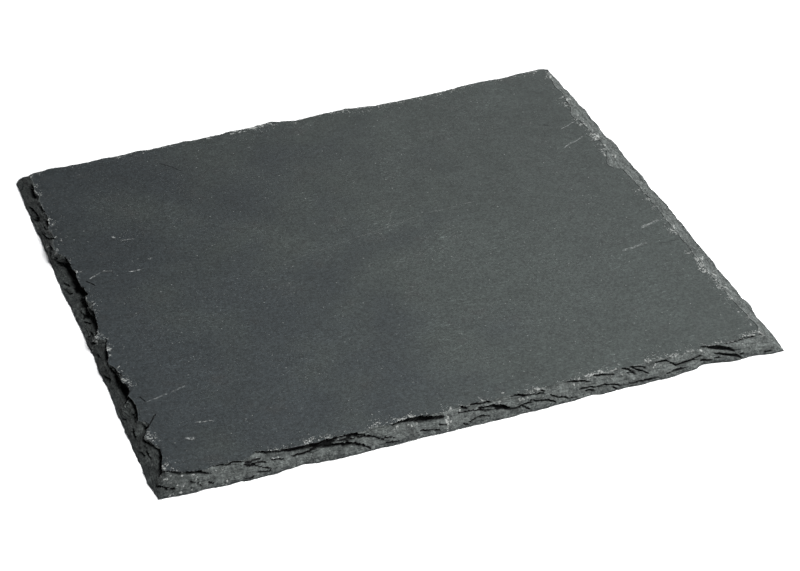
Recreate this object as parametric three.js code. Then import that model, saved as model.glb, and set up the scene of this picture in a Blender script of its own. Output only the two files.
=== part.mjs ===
import * as THREE from "three";

// Slate plate: one slab of split slate whose rim was dressed by hand with blows from above.
// Units are millimetres. +Z is up, the origin is the middle of the flat underside, +X runs along
// the front edge to the right and +Y runs from the front edge to the back.

// Driving dimensions of the slab
const LENGTH = 300;
const DEPTH = 270;
const THICKNESS = 6;

// Plan radii of the corners, seen from above
const CORNER_RADII = { frontLeft: 1.5, frontRight: 1.5, backRight: 3, backLeft: 3 };

// Heights on the dressed rim, which wander along it between a least and a most
const TOP_LAMINA = { least: 0.3, most: 0.65, wavelength: 23 };
const BASE_RISER = { least: 0.35, most: 0.85, wavelength: 17, batter: 0.1 };
const LEAST_STEP = 0.06;

// A seam is where one lamina overhangs the next. Its stated opening is the width that shows on the
// slope, and these shares turn that into a drop, a step outward and a reach back under the lip. The
// deepest point lies part of the way down the drop.
const SEAM = { drop: 1.25, outward: 0.4, reach: 0.8, leastOpening: 0.12, lift: 0.45, deepest: 0.6 };

// Least setback from the edge above to the lip of each seam
const LEAST_LEDGE = { upper: 0.1, lower: 0.25 };

// Where the lower seam runs when nothing else is stated, as a share of the slope from the base
const RESTING_SEAM = { share: 0.42, wander: 0.15, wavelength: 11 };

// How far the lower slope swells or sinks
const BELLY = { height: 0.35, wavelength: 13 };

// Fine roughness of the broken edges
const ROUGHNESS = { topEdge: 0.35, baseEdge: 0.25, seam: 0.2, height: 0.12, wavelength: 4.2 };

// Each kind of unevenness has a pattern of its own
const PATTERN = {
  topLamina: 1,
  baseRiser: 2,
  topEdge: 3,
  baseEdge: 4,
  seam: 5,
  restingSeam: 6,
  belly: 7,
  height: 8,
};
const SEED = 4117;
const HASH = { index: 374761393, pattern: 668265263, mix: 1274126177, range: 4294967296 };

// How many stations each side has. The front and left risers show most, so they are the finest.
const STATIONS = { front: 150, right: 82, back: 72, left: 118 };

// Each side is read from its start corner. A row of topEdge is [station, setback of the flat top's
// edge], a row of baseEdge is [station, setback of the underside's edge] and a row of a seam is
// [station, setback of its lip, opening], all in millimetres.
const FRONT = {
  length: LENGTH,
  topEdge: [
    [10.5, 10.5], [14, 8.2], [18, 7.2], [21, 6.2], [24, 5.6], [25.5, 6.6], [27, 7.1], [30, 7.3],
    [33, 6.8], [36, 7.3], [39, 7], [41, 6.4], [44.5, 6.6], [46, 11], [47.5, 10.2], [49, 9.4],
    [52, 8.5], [55, 8], [58, 7.4], [61, 7.1], [66, 6.9], [72, 6.8], [76, 6.5], [77.5, 7.1],
    [86, 7.2], [90, 7.1], [93, 6.8], [96, 6.3], [99, 7.2], [103, 7.6], [107, 6.8], [110, 6.9],
    [113, 7.5], [118, 7.6], [122, 7.4], [127, 7.3], [130, 6.6], [133, 6], [136, 6.6], [139, 7.2],
    [142, 7.8], [143.5, 7], [146, 7.4], [150, 7.3], [155, 7], [157, 6.7], [160, 6.8], [164, 7.2],
    [167, 7], [170, 6.8], [174, 6.9], [182, 6.6], [186, 7], [193, 7.2], [197, 6.9], [201, 6.6],
    [204, 6.9], [207, 7.3], [210, 7.1], [213, 6.8], [216, 6.9], [220, 7.4], [223, 7], [229, 6.9],
    [232, 6.6], [236, 6.9], [244, 7], [250, 7.2], [256, 7], [260, 6.6], [261.5, 8.8], [263, 8.2],
    [266, 7.5], [270, 7.3], [273, 7], [276, 7.1], [280, 7.6], [284, 7.6], [288, 7.5], [291.6, 8.4],
  ],
  baseEdge: [
    [0.8, 0.8], [4, 0.7], [9, 0.5], [15, 0.2], [19, 0.2], [24, 0.5], [28, 0], [32, -0.4], [37, -0.1],
    [40, -0.5], [45, -0.3], [54, -0.5], [57, 0.2], [62, 0.4], [66, 1.3], [68, 0.9], [71, 0.2],
    [76, 0.2], [79, -0.5], [87, -0.8], [96, -0.4], [110, -0.6], [128, -0.3], [132, -0.2],
    [137, -0.6], [155, -0.8], [165, -0.8], [171, -0.2], [174, -0.8], [185, -0.3], [195, 0],
    [200, 0.5], [204, 0.7], [207, 0], [215, -0.3], [220, 0.2], [225, -0.2], [236, 0], [245, -0.3],
    [250, 0.8], [255, 1.6], [258, 2.9], [260, 3.2], [264, 2.5], [268, 1.6], [272, 0.4], [277, 0],
    [281, 0.7], [286, 0.4], [291, -0.3], [294, -0.9], [299, -1],
  ],
  upperSeams: [
    [[8, 11.6, 0.4], [10.5, 10.2, 0.8], [14, 7.9, 1], [18, 6.9, 1], [22, 5.8, 0.9], [24, 5.3, 0.4]],
    [[26, 6.7, 0.2], [31, 6.9, 0.4], [33, 6.4, 0.4], [37, 6.9, 0.3], [39.5, 6.5, 0.4], [42, 6, 0.2]],
    [[45.5, 10.9, 0.2], [47.5, 9.9, 0.5], [51, 8.4, 1.2], [55, 7.6, 0.9], [60, 6.8, 1], [66, 6.5, 1.5],
      [73, 6.4, 1.5], [76, 6.1, 1.1]],
    [[77.5, 6.8, 0.7], [86, 6.8, 0.5], [90, 6.6, 0.6], [94, 5.7, 0.8], [98, 4.7, 0.7], [101, 3.6, 0.6],
      [104, 2.3, 0.3]],
    [[107, 6.3, 0.2], [110, 6.6, 0.7], [113, 7.2, 1], [118, 7.2, 1.4], [122, 6.9, 1.6], [126, 6.4, 1.4],
      [130, 5.6, 1], [133, 5.1, 0.5]],
    [[141, 7.2, 0.2], [143, 6.8, 0.8], [145, 6.8, 0.3], [150, 6.9, 0.4], [155, 6.6, 0.5], [157, 6.2, 0.3]],
    [[167, 6.7, 0.2], [170, 6.4, 0.5], [174, 5.7, 0.6], [178, 5.2, 0.4], [181, 5, 0.2]],
    [[193, 6.9, 0.2], [197, 6.5, 0.5], [201, 5.8, 0.5], [204, 5.4, 0.3]],
    [[207, 7, 0.3], [210, 6.7, 0.5], [213, 6.2, 0.5], [215.5, 5.6, 0.4]],
    [[221, 7, 0.3], [224, 5.9, 0.5], [227, 4.9, 0.6], [230, 4.1, 0.6], [232, 2.6, 0.3]],
    [[237, 6.5, 0.3], [240, 6.4, 0.5], [243, 5.8, 0.5], [246, 4, 0.4]],
    [[261, 8.6, 0.4], [263, 7.9, 1.1], [266, 7, 1.3], [270, 6.2, 1.3], [274, 4.9, 0.7], [276, 3.8, 0.2]],
    [[278, 6.9, 0.3], [284, 7.2, 0.3], [287, 7, 0.2]],
  ],
  lowerSeams: [
    [[2, 4.8, 0.4], [5, 3.6, 0.5], [9, 2.9, 0.3]],
    [[41, 5.2, 0.2], [46, 4.9, 0.3], [52, 4.9, 0.3], [55, 4.2, 0.4], [59, 4.1, 0.2]],
    [[63, 3.9, 0.3], [68, 4.3, 0.5], [75, 4.6, 0.7], [80, 4.4, 0.8], [84, 4, 0.7], [88, 3.3, 0.7],
      [92, 2.3, 0.6], [96, 1.2, 0.3]],
    [[120, 2.1, 0.3], [125, 1.7, 0.3], [129, 1.3, 0.2]],
    [[140, 5.3, 0.2], [145, 5, 0.3], [150, 4.8, 0.4], [154, 4.9, 0.9], [158, 4.2, 1.1], [162, 2.9, 1],
      [165, 2.6, 0.5], [170, 2.8, 0.4], [174, 2.9, 0.2]],
    [[176, 3.2, 0.3], [179, 2.6, 0.4], [182, 2.1, 0.5], [185, 1.3, 0.3]],
    [[199, 3.5, 0.3], [203, 3.4, 0.4], [206, 2.8, 0.2]],
    [[208, 2.1, 0.2], [213, 2.4, 0.4], [217, 1.6, 0.2]],
    [[246.5, 3.7, 0.3], [250, 3.7, 0.5], [255, 4.4, 0.5], [260, 4.8, 0.4]],
    [[264.5, 4.3, 0.3], [268, 3.9, 0.5], [272, 3.1, 0.8], [275, 2.2, 0.6], [278, 1.2, 0.2]],
  ],
};

const LEFT = {
  length: DEPTH,
  topEdge: [
    [6.3, 6.3], [12, 6.6], [18, 6.5], [20, 6.1], [26, 6.7], [28, 6.5], [31, 5.6], [35, 6], [38, 5.8],
    [44, 6.2], [47, 7.4], [49, 6.2], [52, 5.6], [54, 5.2], [56, 4.1], [58, 3.9], [61, 5], [64, 5.5],
    [66, 5], [70, 3.2], [72, 2.9], [76, 2.6], [80, 3.2], [82, 4.2], [84, 5.6], [87, 6.5], [91, 7],
    [96, 6.8], [100, 7.5], [104, 7], [112, 7.1], [113, 8], [115, 7.8], [117, 8.6], [119, 8.4],
    [121, 7], [125, 6.6], [127, 8], [130, 7.4], [139, 7.2], [143, 6.6], [147, 6.4], [149, 5.4],
    [151, 3.6], [154, 3], [156, 4], [157, 7], [158, 7.6], [161, 6.9], [163, 6.2], [166, 5.6],
    [170, 5.2], [172, 4.2], [174, 3.8], [176, 4.5], [178, 5.2], [182, 6.2], [187, 7], [192, 6.6],
    [194, 7.4], [199, 7.5], [200, 6.5], [203, 6], [207, 6.8], [210, 7.2], [214, 6.8], [218, 6],
    [220, 5.6], [223, 7.5], [225, 8.8], [227, 8], [229, 6.8], [231, 5.2], [233, 5.5], [237, 7],
    [241, 7.8], [243, 9], [248, 9], [251, 8], [254, 6.8], [256, 6.2], [258, 6.6], [259.5, 10.5],
  ],
  baseEdge: [
    [0.6, 0.6], [10, 0.3], [30, -0.1], [60, 0], [95, -0.3], [120, -0.1], [150, 0.3], [162, 0.6],
    [172, 0], [182, 0.6], [190, 0.7], [200, 0], [225, -0.2], [245, 0.2], [255, -0.3], [269.2, 0.8],
  ],
  upperSeams: [
    [[14, 6.2, 0.2], [16, 6.3, 0.6], [19, 6, 1], [26, 6.3, 0.9], [28, 6.1, 0.2]],
    [[33, 5.6, 0.2], [38, 5.4, 0.4], [44, 5.8, 0.2]],
    [[47.5, 6.9, 0.3], [50, 5.6, 0.8], [53, 5.1, 0.8], [56, 3.8, 0.4]],
    [[82, 3.9, 0.3], [85, 5.6, 0.9], [88, 6.3, 1.3], [92, 6.6, 1.9], [100, 7.1, 2.1], [106, 6.7, 1.9],
      [112, 6.8, 2], [117, 8.2, 2.3], [120, 7.4, 1.7], [126, 6.6, 1], [130, 7, 1.1], [137, 6.8, 1.6],
      [144, 6.2, 1.6], [148, 5.6, 0.9], [150, 4, 0.2]],
    [[157, 6.8, 0.5], [160, 6.8, 0.9], [164, 5.7, 1.1], [169, 4.9, 1.3], [172, 3.9, 0.8], [174, 3.5, 0.2]],
    [[177, 4.6, 0.4], [182, 5.8, 1.1], [190, 6.2, 1.5], [194, 6.9, 2], [199, 7, 1.9], [201, 6.1, 0.7]],
    [[204, 5.8, 0.7], [210, 6.8, 1], [215, 6.3, 1], [219, 5.4, 0.5]],
    [[222, 6.4, 0.3], [224.5, 8.2, 0.9], [227, 7.6, 0.7], [230, 5.7, 0.4]],
    [[234, 5.4, 0.3], [238, 6.8, 0.5], [243, 8.5, 0.9], [248, 8.5, 1.2], [253, 6.9, 1.2], [257, 6, 0.6]],
  ],
  lowerSeams: [
    [[28, 1.6, 0.2], [31, 1.9, 0.5], [36, 2.4, 0.4], [39, 2.6, 0.5], [42, 2.4, 1.1], [45, 2.4, 0.4]],
    [[56, 1.6, 0.3], [60, 2.3, 0.5], [63, 3, 0.3]],
    [[97, 1.4, 0.2], [100, 1.8, 0.4], [104, 2.4, 0.3]],
    [[118, 4, 0.3], [122, 4.4, 0.7], [128, 4.2, 0.7], [132, 3.4, 0.6], [136, 3, 0.3]],
    [[160, 2, 0.3], [163, 2.3, 0.6], [166, 2.3, 0.2]],
    [[178, 1.6, 0.2], [181, 2.1, 0.6], [184, 2.1, 0.2]],
    [[200, 3.7, 0.4], [204, 3.7, 0.5], [207, 3.4, 0.2]],
    [[221, 2.4, 0.3], [225, 2.2, 0.6], [229, 2.1, 0.2]],
    [[231, 3.8, 0.3], [235, 4.4, 0.4], [240, 5, 0.3]],
  ],
};

const RIGHT = {
  length: DEPTH,
  topEdge: [
    [5, 5], [10, 7.6], [15, 8.2], [25, 8.7], [33, 8], [38, 9.3], [44, 9], [47, 10], [50, 12], [54, 12.6],
    [58, 11.6], [60, 10.3], [66, 9.8], [70, 9], [75, 9.4], [82, 8.9], [91, 9], [94, 10.8], [98, 12.8],
    [103, 14.3], [107, 14.3], [109, 12.6], [110, 9.6], [116, 9], [120, 8.5], [130, 8.8], [140, 8.4],
    [150, 8.7], [160, 8.4], [170, 8.6], [179, 9.4], [185, 8.9], [200, 9], [207, 9.5], [215, 9.4],
    [223, 8.9], [232, 9.1], [240, 8.9], [244, 8.1], [250, 8.4], [255, 7.4], [258, 8], [261.6, 8.4],
  ],
  baseEdge: [
    [0.9, 0.9], [5, 1], [10, 1.2], [12, 0.7], [15, 0.7], [19, 1.4], [21, 0.6], [23, 0.3], [32, 0.3],
    [37, 0.4], [38, 0], [44, -0.7], [48, -0.1], [55, 0], [64, 0.3], [73, 0.6], [74.5, -0.8], [76, -1],
    [82, -0.9], [88, -0.5], [105, -0.5], [109, -1], [114, -0.8], [119, -0.5], [125, 0], [130, -0.5],
    [132, -0.9], [134, -0.5], [142, -0.9], [146, -0.5], [151, -0.9], [156, -0.3], [158, -1], [162, -1],
    [166, -0.4], [172, 0], [195, -0.5], [203, 0.2], [210, -0.2], [215, 0.3], [218, -0.1], [222, 0.3],
    [228, 0.5], [229, -0.3], [233, -0.5], [238, 0.5], [243, 0.8], [245, 0.5], [256, 0.6], [260, 0.9],
    [265, 1], [269, 1],
  ],
  upperSeams: [
    [[36, 8.6, 0.2], [40, 8.8, 0.4], [44, 8.5, 0.2]],
    [[82, 8.5, 0.2], [86, 8.4, 0.4], [90, 8.5, 0.2]],
    [[136, 8, 0.2], [142, 7.9, 0.35], [148, 8.1, 0.2]],
  ],
  lowerSeams: [],
};

const BACK = {
  length: LENGTH,
  topEdge: [
    [6.3, 6.3], [9, 5.6], [13, 5.1], [21, 4.7], [29, 5.5], [40, 5.4], [47, 4.6], [53, 5.7], [59, 5],
    [63, 3.5], [66, 3.9], [70, 5.3], [80, 4.4], [84, 4.9], [90.5, 3.8], [95, 5.3], [103, 4.1],
    [107, 4.7], [114, 3], [120, 3.8], [125, 3.4], [131, 2.7], [137, 1.7], [143, 3.4], [150, 5.5],
    [157, 4.9], [165, 3.9], [169, 4.2], [180, 3.5], [186, 5.1], [195, 6.8], [202, 5.8], [212, 6.6],
    [218, 6.1], [224, 6.6], [229, 5.7], [238, 5.5], [245, 4.1], [257, 3.6], [268, 4.5], [277, 3.4],
    [285, 3.5], [290, 3], [293, 4], [295, 5],
  ],
  baseEdge: [
    [0.6, 0.6], [40, 0.2], [62, -0.5], [70, 0.4], [90, -0.3], [115, -0.7], [137, -0.9], [150, 0.4],
    [178, -0.5], [195, 0.9], [226, 0.8], [247, -0.5], [268, 0.2], [284, -0.2], [299.1, 0.9],
  ],
  upperSeams: [
    [[60, 3.6, 0.2], [64, 3.4, 0.5], [69, 4.4, 0.2]],
    [[132, 2.3, 0.3], [137, 1.5, 0.5], [142, 2.8, 0.2]],
    [[244, 4, 0.2], [250, 3.6, 0.4], [258, 3.3, 0.2]],
  ],
  lowerSeams: [],
};

// The walk goes round the slab anticlockwise, seen from above. A side that is read against the walk
// has its stations turned round.
const SIDES = [
  { data: FRONT, stations: STATIONS.front, againstWalk: false, place: (s) => [s - LENGTH / 2, -DEPTH / 2] },
  { data: RIGHT, stations: STATIONS.right, againstWalk: true, place: (s) => [LENGTH / 2, DEPTH / 2 - s] },
  { data: BACK, stations: STATIONS.back, againstWalk: true, place: (s) => [s - LENGTH / 2, DEPTH / 2] },
  { data: LEFT, stations: STATIONS.left, againstWalk: false, place: (s) => [-LENGTH / 2, DEPTH / 2 - s] },
];

// Seeded pseudo-random numbers in [0, 1)
function hash(index, pattern) {
  let h = Math.imul(index + 1, HASH.index) ^ Math.imul(pattern + SEED, HASH.pattern);
  h = Math.imul(h ^ (h >>> 13), HASH.mix);
  return ((h ^ (h >>> 16)) >>> 0) / HASH.range;
}

// Smooth noise in [-1, 1] along the perimeter, which closes on itself after one lap
function noise(lap, wavelength, pattern) {
  const knots = Math.round((2 * (LENGTH + DEPTH)) / wavelength);
  const at = lap * knots;
  const knot = Math.floor(at);
  const blend = THREE.MathUtils.smoothstep(at - knot, 0, 1);
  const before = hash(knot % knots, pattern);
  const after = hash((knot + 1) % knots, pattern);
  return 2 * THREE.MathUtils.lerp(before, after, blend) - 1;
}

// A point set back from the edge moves toward the slab's centre, so its station on the edge line
// lies further out than where it is seen.
function edgeStation(station, setback, length) {
  const half = length / 2;
  return half + (station - half) / (1 - setback / half);
}

// Straight-line interpolation in rows of [station, value, ...]
function interpolate(rows, station, column) {
  const after = rows.findIndex((row) => row[0] >= station);
  if (after === 0) return rows[0][column];
  if (after < 0) return rows.at(-1)[column];
  const [low, high] = [rows[after - 1], rows[after]];
  const share = (station - low[0]) / (high[0] - low[0]);
  return THREE.MathUtils.lerp(low[column], high[column], share);
}

// Turn the rows' seen stations into stations on the edge line
function onEdgeLine(rows, length) {
  return rows.map(([station, setback, ...rest]) => [edgeStation(station, setback, length), setback, ...rest]);
}

for (const { data } of SIDES) {
  data.topEdge = onEdgeLine(data.topEdge, data.length);
  data.baseEdge = onEdgeLine(data.baseEdge, data.length);
  data.upperSeams = data.upperSeams.map((seam) => onEdgeLine(seam, data.length));
  data.lowerSeams = data.lowerSeams.map((seam) => onEdgeLine(seam, data.length));
}

// The seam that passes a station, as its lip's setback and its opening, or null where there is none
function seamAt(seams, station) {
  const seam = seams.find((rows) => station >= rows[0][0] && station <= rows.at(-1)[0]);
  if (!seam) return null;
  return { lip: interpolate(seam, station, 1), opening: interpolate(seam, station, 2) };
}

// Lip, inside and floor of one seam, as [setback, height] points from the top down
function seamPoints(lip, lipHeight, opening) {
  const open = Math.max(opening, SEAM.leastOpening);
  return [
    [lip, lipHeight],
    [lip + SEAM.reach * opening, lipHeight - SEAM.drop * open * SEAM.deepest],
    [lip - SEAM.outward * open, lipHeight - SEAM.drop * open],
  ];
}

// The rim's section at one station, as [setback, height] points from the flat top to the underside
function rimSection(data, station, lap) {
  const rough = (pattern, wavelength = ROUGHNESS.wavelength) => noise(lap, wavelength, pattern);
  const between = ({ least, most, wavelength }, pattern) => {
    return THREE.MathUtils.mapLinear(rough(pattern, wavelength), -1, 1, least, most);
  };
  const lamina = between(TOP_LAMINA, PATTERN.topLamina);
  const riser = between(BASE_RISER, PATTERN.baseRiser);
  const top = interpolate(data.topEdge, station, 1) + ROUGHNESS.topEdge * rough(PATTERN.topEdge);
  const base = interpolate(data.baseEdge, station, 1) + ROUGHNESS.baseEdge * rough(PATTERN.baseEdge);

  const upper = seamAt(data.upperSeams, station) ?? { lip: top - lamina, opening: 0 };
  const upperLip = Math.min(upper.lip + ROUGHNESS.seam * rough(PATTERN.seam), top - LEAST_LEDGE.upper);
  const upperShare = (upperLip - base) / (top - base);
  const upperLine = riser + (THICKNESS - lamina - riser) * upperShare;
  const upperHeight = Math.min(upperLine + SEAM.lift * upper.opening, THICKNESS - lamina);
  const upperPoints = seamPoints(upperLip, upperHeight, upper.opening);

  const [floorSetback, floorHeight] = upperPoints[2];
  const wander = RESTING_SEAM.wander * rough(PATTERN.restingSeam, RESTING_SEAM.wavelength);
  const restingLip = base + (floorSetback - base) * (RESTING_SEAM.share + wander);
  const lower = seamAt(data.lowerSeams, station) ?? { lip: restingLip, opening: 0 };
  const lowerLip = Math.min(lower.lip, floorSetback - LEAST_LEDGE.lower);
  const lowerShare = (lowerLip - base) / (floorSetback - base);
  const swell = BELLY.height * rough(PATTERN.belly, BELLY.wavelength);
  const belly = swell + ROUGHNESS.height * rough(PATTERN.height);
  const lowerLine = riser + (floorHeight - riser) * lowerShare + belly + SEAM.lift * lower.opening;
  const lowerPoints = seamPoints(lowerLip, lowerLine, lower.opening);

  const basePoints = [[base + BASE_RISER.batter, riser], [base, 0]];
  return fallingSection([[top, THICKNESS], ...upperPoints, ...lowerPoints, ...basePoints]);
}

// Heights fall strictly from the top to the underside, so that no face crosses another
function fallingSection(section) {
  const last = section.length - 1;
  for (let i = 1; i < last; i += 1) {
    const ceiling = section[i - 1][1] - LEAST_STEP;
    const floor = (last - i) * LEAST_STEP;
    section[i][1] = THREE.MathUtils.clamp(section[i][1], floor, ceiling);
  }
  return section;
}

// Plan position of a point that is set back from a place on the edge line
function insetPoint([x, y], setback) {
  return [x * (1 - (2 * setback) / LENGTH), y * (1 - (2 * setback) / DEPTH)];
}

// Pull a point in a corner's square onto the corner's arc
function roundCorner([x, y]) {
  const endwise = x > 0 ? "Right" : "Left";
  const radius = CORNER_RADII[(y > 0 ? "back" : "front") + endwise];
  const across = Math.abs(x) - (LENGTH / 2 - radius);
  const along = Math.abs(y) - (DEPTH / 2 - radius);
  if (across <= 0 || along <= 0) return [x, y];
  const pull = Math.max(across, along) / Math.hypot(across, along);
  return [
    Math.sign(x) * (LENGTH / 2 - radius + across * pull),
    Math.sign(y) * (DEPTH / 2 - radius + along * pull),
  ];
}

// All sections round the slab, each a list of [x, y, z] points
function rimSections() {
  const perimeter = 2 * (LENGTH + DEPTH);
  const sections = [];
  let walked = 0;
  for (const { data, stations, againstWalk, place } of SIDES) {
    for (let i = 0; i < stations; i += 1) {
      const along = (data.length * i) / stations;
      const station = againstWalk ? data.length - along : along;
      const section = rimSection(data, station, (walked + along) / perimeter);
      const origin = place(station);
      const outline = section.map(([setback]) => roundCorner(insetPoint(origin, setback)));
      sections.push(outline.map((point, level) => [...point, section[level][1]]));
    }
    walked += data.length;
  }
  return sections;
}

// Close the sections with a flat cap, and return its triangles as indices of sections
function capTriangles(sections, level) {
  const outline = sections.map((section) => new THREE.Vector2(section[level][0], section[level][1]));
  return THREE.ShapeUtils.triangulateShape(outline, []);
}

// The origin is the middle of the outline, which the chips have moved a little
function centred(geometry) {
  geometry.computeBoundingBox();
  const middle = geometry.boundingBox.getCenter(new THREE.Vector3());
  geometry.translate(-middle.x, -middle.y, 0);
  geometry.computeVertexNormals();
  return geometry;
}

function slabGeometry() {
  const sections = rimSections();
  const levels = sections[0].length;
  const count = sections.length;
  const index = [];
  const at = (section, level) => (section % count) * levels + level;
  for (let i = 0; i < count; i += 1) {
    for (let level = 0; level < levels - 1; level += 1) {
      const [a, b] = [at(i, level), at(i + 1, level)];
      const [c, d] = [at(i, level + 1), at(i + 1, level + 1)];
      index.push(a, c, b, b, c, d);
    }
  }
  for (const [a, b, c] of capTriangles(sections, 0)) index.push(at(a, 0), at(b, 0), at(c, 0));
  const bottom = levels - 1;
  for (const [a, b, c] of capTriangles(sections, bottom)) {
    index.push(at(c, bottom), at(b, bottom), at(a, bottom));
  }

  const geometry = new THREE.BufferGeometry();
  geometry.setAttribute("position", new THREE.Float32BufferAttribute(sections.flat(2), 3));
  geometry.setIndex(index);
  return centred(geometry);
}

const slateMaterial = new THREE.MeshStandardMaterial({ color: 0x4b5154, roughness: 0.75, metalness: 0 });
const slab = new THREE.Mesh(slabGeometry(), slateMaterial);
slab.name = "slate_plate";

const plate = new THREE.Group();
plate.add(slab);

export default plate;
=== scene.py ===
"""A slate plate, finished round its CAD solid.

The slab's broken rim is modelled as thin laminae on the section that the solid has there, and then the
slits between them are cut where they were seen. All sizes are in millimetres until a mesh is written,
and +Z is up.
"""
import math

import bpy
import numpy as np
from mathutils import Matrix, Vector
from mathutils.bvhtree import BVHTree


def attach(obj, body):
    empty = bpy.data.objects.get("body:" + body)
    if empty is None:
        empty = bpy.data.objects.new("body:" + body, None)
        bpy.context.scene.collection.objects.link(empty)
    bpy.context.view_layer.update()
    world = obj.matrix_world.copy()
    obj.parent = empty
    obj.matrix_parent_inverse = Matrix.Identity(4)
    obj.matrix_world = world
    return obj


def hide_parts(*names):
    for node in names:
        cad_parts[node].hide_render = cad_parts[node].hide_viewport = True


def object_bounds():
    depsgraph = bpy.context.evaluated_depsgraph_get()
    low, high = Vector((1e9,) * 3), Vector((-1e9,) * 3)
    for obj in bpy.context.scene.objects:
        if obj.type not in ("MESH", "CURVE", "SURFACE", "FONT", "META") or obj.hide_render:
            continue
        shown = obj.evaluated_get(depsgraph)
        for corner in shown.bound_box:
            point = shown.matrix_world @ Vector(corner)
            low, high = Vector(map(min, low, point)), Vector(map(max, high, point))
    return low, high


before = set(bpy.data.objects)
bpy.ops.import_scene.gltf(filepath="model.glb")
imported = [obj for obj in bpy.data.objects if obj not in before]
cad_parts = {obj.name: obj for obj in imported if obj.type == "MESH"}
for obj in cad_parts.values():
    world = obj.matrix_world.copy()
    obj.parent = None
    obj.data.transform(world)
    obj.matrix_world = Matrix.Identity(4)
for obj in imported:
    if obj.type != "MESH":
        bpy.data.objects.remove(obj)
cad_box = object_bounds()

MM = 0.001
NODE = "slate_plate"
rng = np.random.default_rng(20417)

# The slab. Its sides were measured about a middle that lies a little to the left of the outline's.
THICKNESS = 6.0
HALF_LENGTH = 150.0
HALF_DEPTH = 135.0
MEASURED_MIDDLE = (-0.35, 0.0)

# The walk round the rim starts at the front left corner and goes anticlockwise, seen from above. It
# follows a rectangle just outside the slab, and a setback is measured inward from that rectangle.
CLEARANCE = 3.0
WALK_X = HALF_LENGTH + CLEARANCE
WALK_Y = HALF_DEPTH + CLEARANCE
LAP = 4 * (WALK_X + WALK_Y)
STATIONS = 2100
LAMINA_ROWS = 30

# How far inside the solid's flat faces its section is read, at the least
FACE_MARGIN = 0.002

# Rings on the flat top, as distances inward from its chipped edge
TOP_RINGS = (0.3, 0.8, 1.5, 2.5, 4.0, 6.0)

# Rings on the flat underside, as distances inward from its edge
UNDER_RINGS = (0.8, 6.0)

# Wear of the top face near its edge, as a depth, the distance inward over which it fades and a
# wavelength: the crumbled lip, the slight ripple behind it, and how much the lip itself sinks
LIP_WEAR = (0.16, 0.7, 2.2)
RIPPLE_WEAR = (0.05, 3.0, 1.5)
LIP_SINK = 0.10

# The calm middle of the top face, as a setback from the walk, and the spacing of its mesh
MIDDLE_SETBACK = 26.0
MIDDLE_SPACING = 3.0

# The swell of that middle: how deep it is, how wide the level border is, the two wave lengths along X and
# along Y, and how far the first wave bends
SWELL_DEPTH = 0.08
SWELL_BORDER = 12.0
SWELL_LENGTHS_X = (23.0, 41.0)
SWELL_LENGTHS_Y = (31.0, 17.0)
SWELL_BEND = 1.3

# Faces that meet at less than this are shaded smooth
SMOOTH_ANGLE = math.radians(32)

# Sides of the slab: the corner from which the stations of its marks are measured, the way they run, the
# way inward, and how wide the dressed slope is
SIDES = {
    "front": ((-HALF_LENGTH, -HALF_DEPTH), (1, 0), (0, 1), 7.5),
    "right": ((HALF_LENGTH, HALF_DEPTH), (0, -1), (-1, 0), 8.0),
    "back": ((-HALF_LENGTH, HALF_DEPTH), (1, 0), (0, -1), 6.0),
    "left": ((-HALF_LENGTH, HALF_DEPTH), (0, -1), (1, 0), 7.0),
}

# How the laminae part: their thickness in rows, from the first number to just below the second,
# wavelengths and depths of their broken edges, and the wavelengths and heights by which they rise and dip
# along the rim
LAMINA_THICKNESS = (1, 4)
LAMINA_BREAKS = ((9.0, 0.20), (3.4, 0.20), (1.4, 0.12))
LAMINA_DIPS = ((34.0, 0.35), (11.0, 0.20))

# Fine roughness of each row, as a wavelength and a depth
ROW_ROUGHNESS = (1.1, 0.05)

# How far a lamina's face is cut upright, as a share: its usual value, the wavelengths and swings by which
# it changes along the rim, and its most
UPRIGHT_SHARE = 0.32
UPRIGHT_SWINGS = ((16.0, 0.50), (5.0, 0.25))
UPRIGHT_MOST = 0.9

# Flake scars on the slope: their length and height, and how deep the widest hollow is. The usual hollow
# is taken off again, so that the slope keeps its place.
FLAKES = ((9.0, 2.6, 0.90), (3.6, 1.3, 0.55), (1.6, 0.8, 0.25))
USUAL_HOLLOW = 0.35

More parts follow.
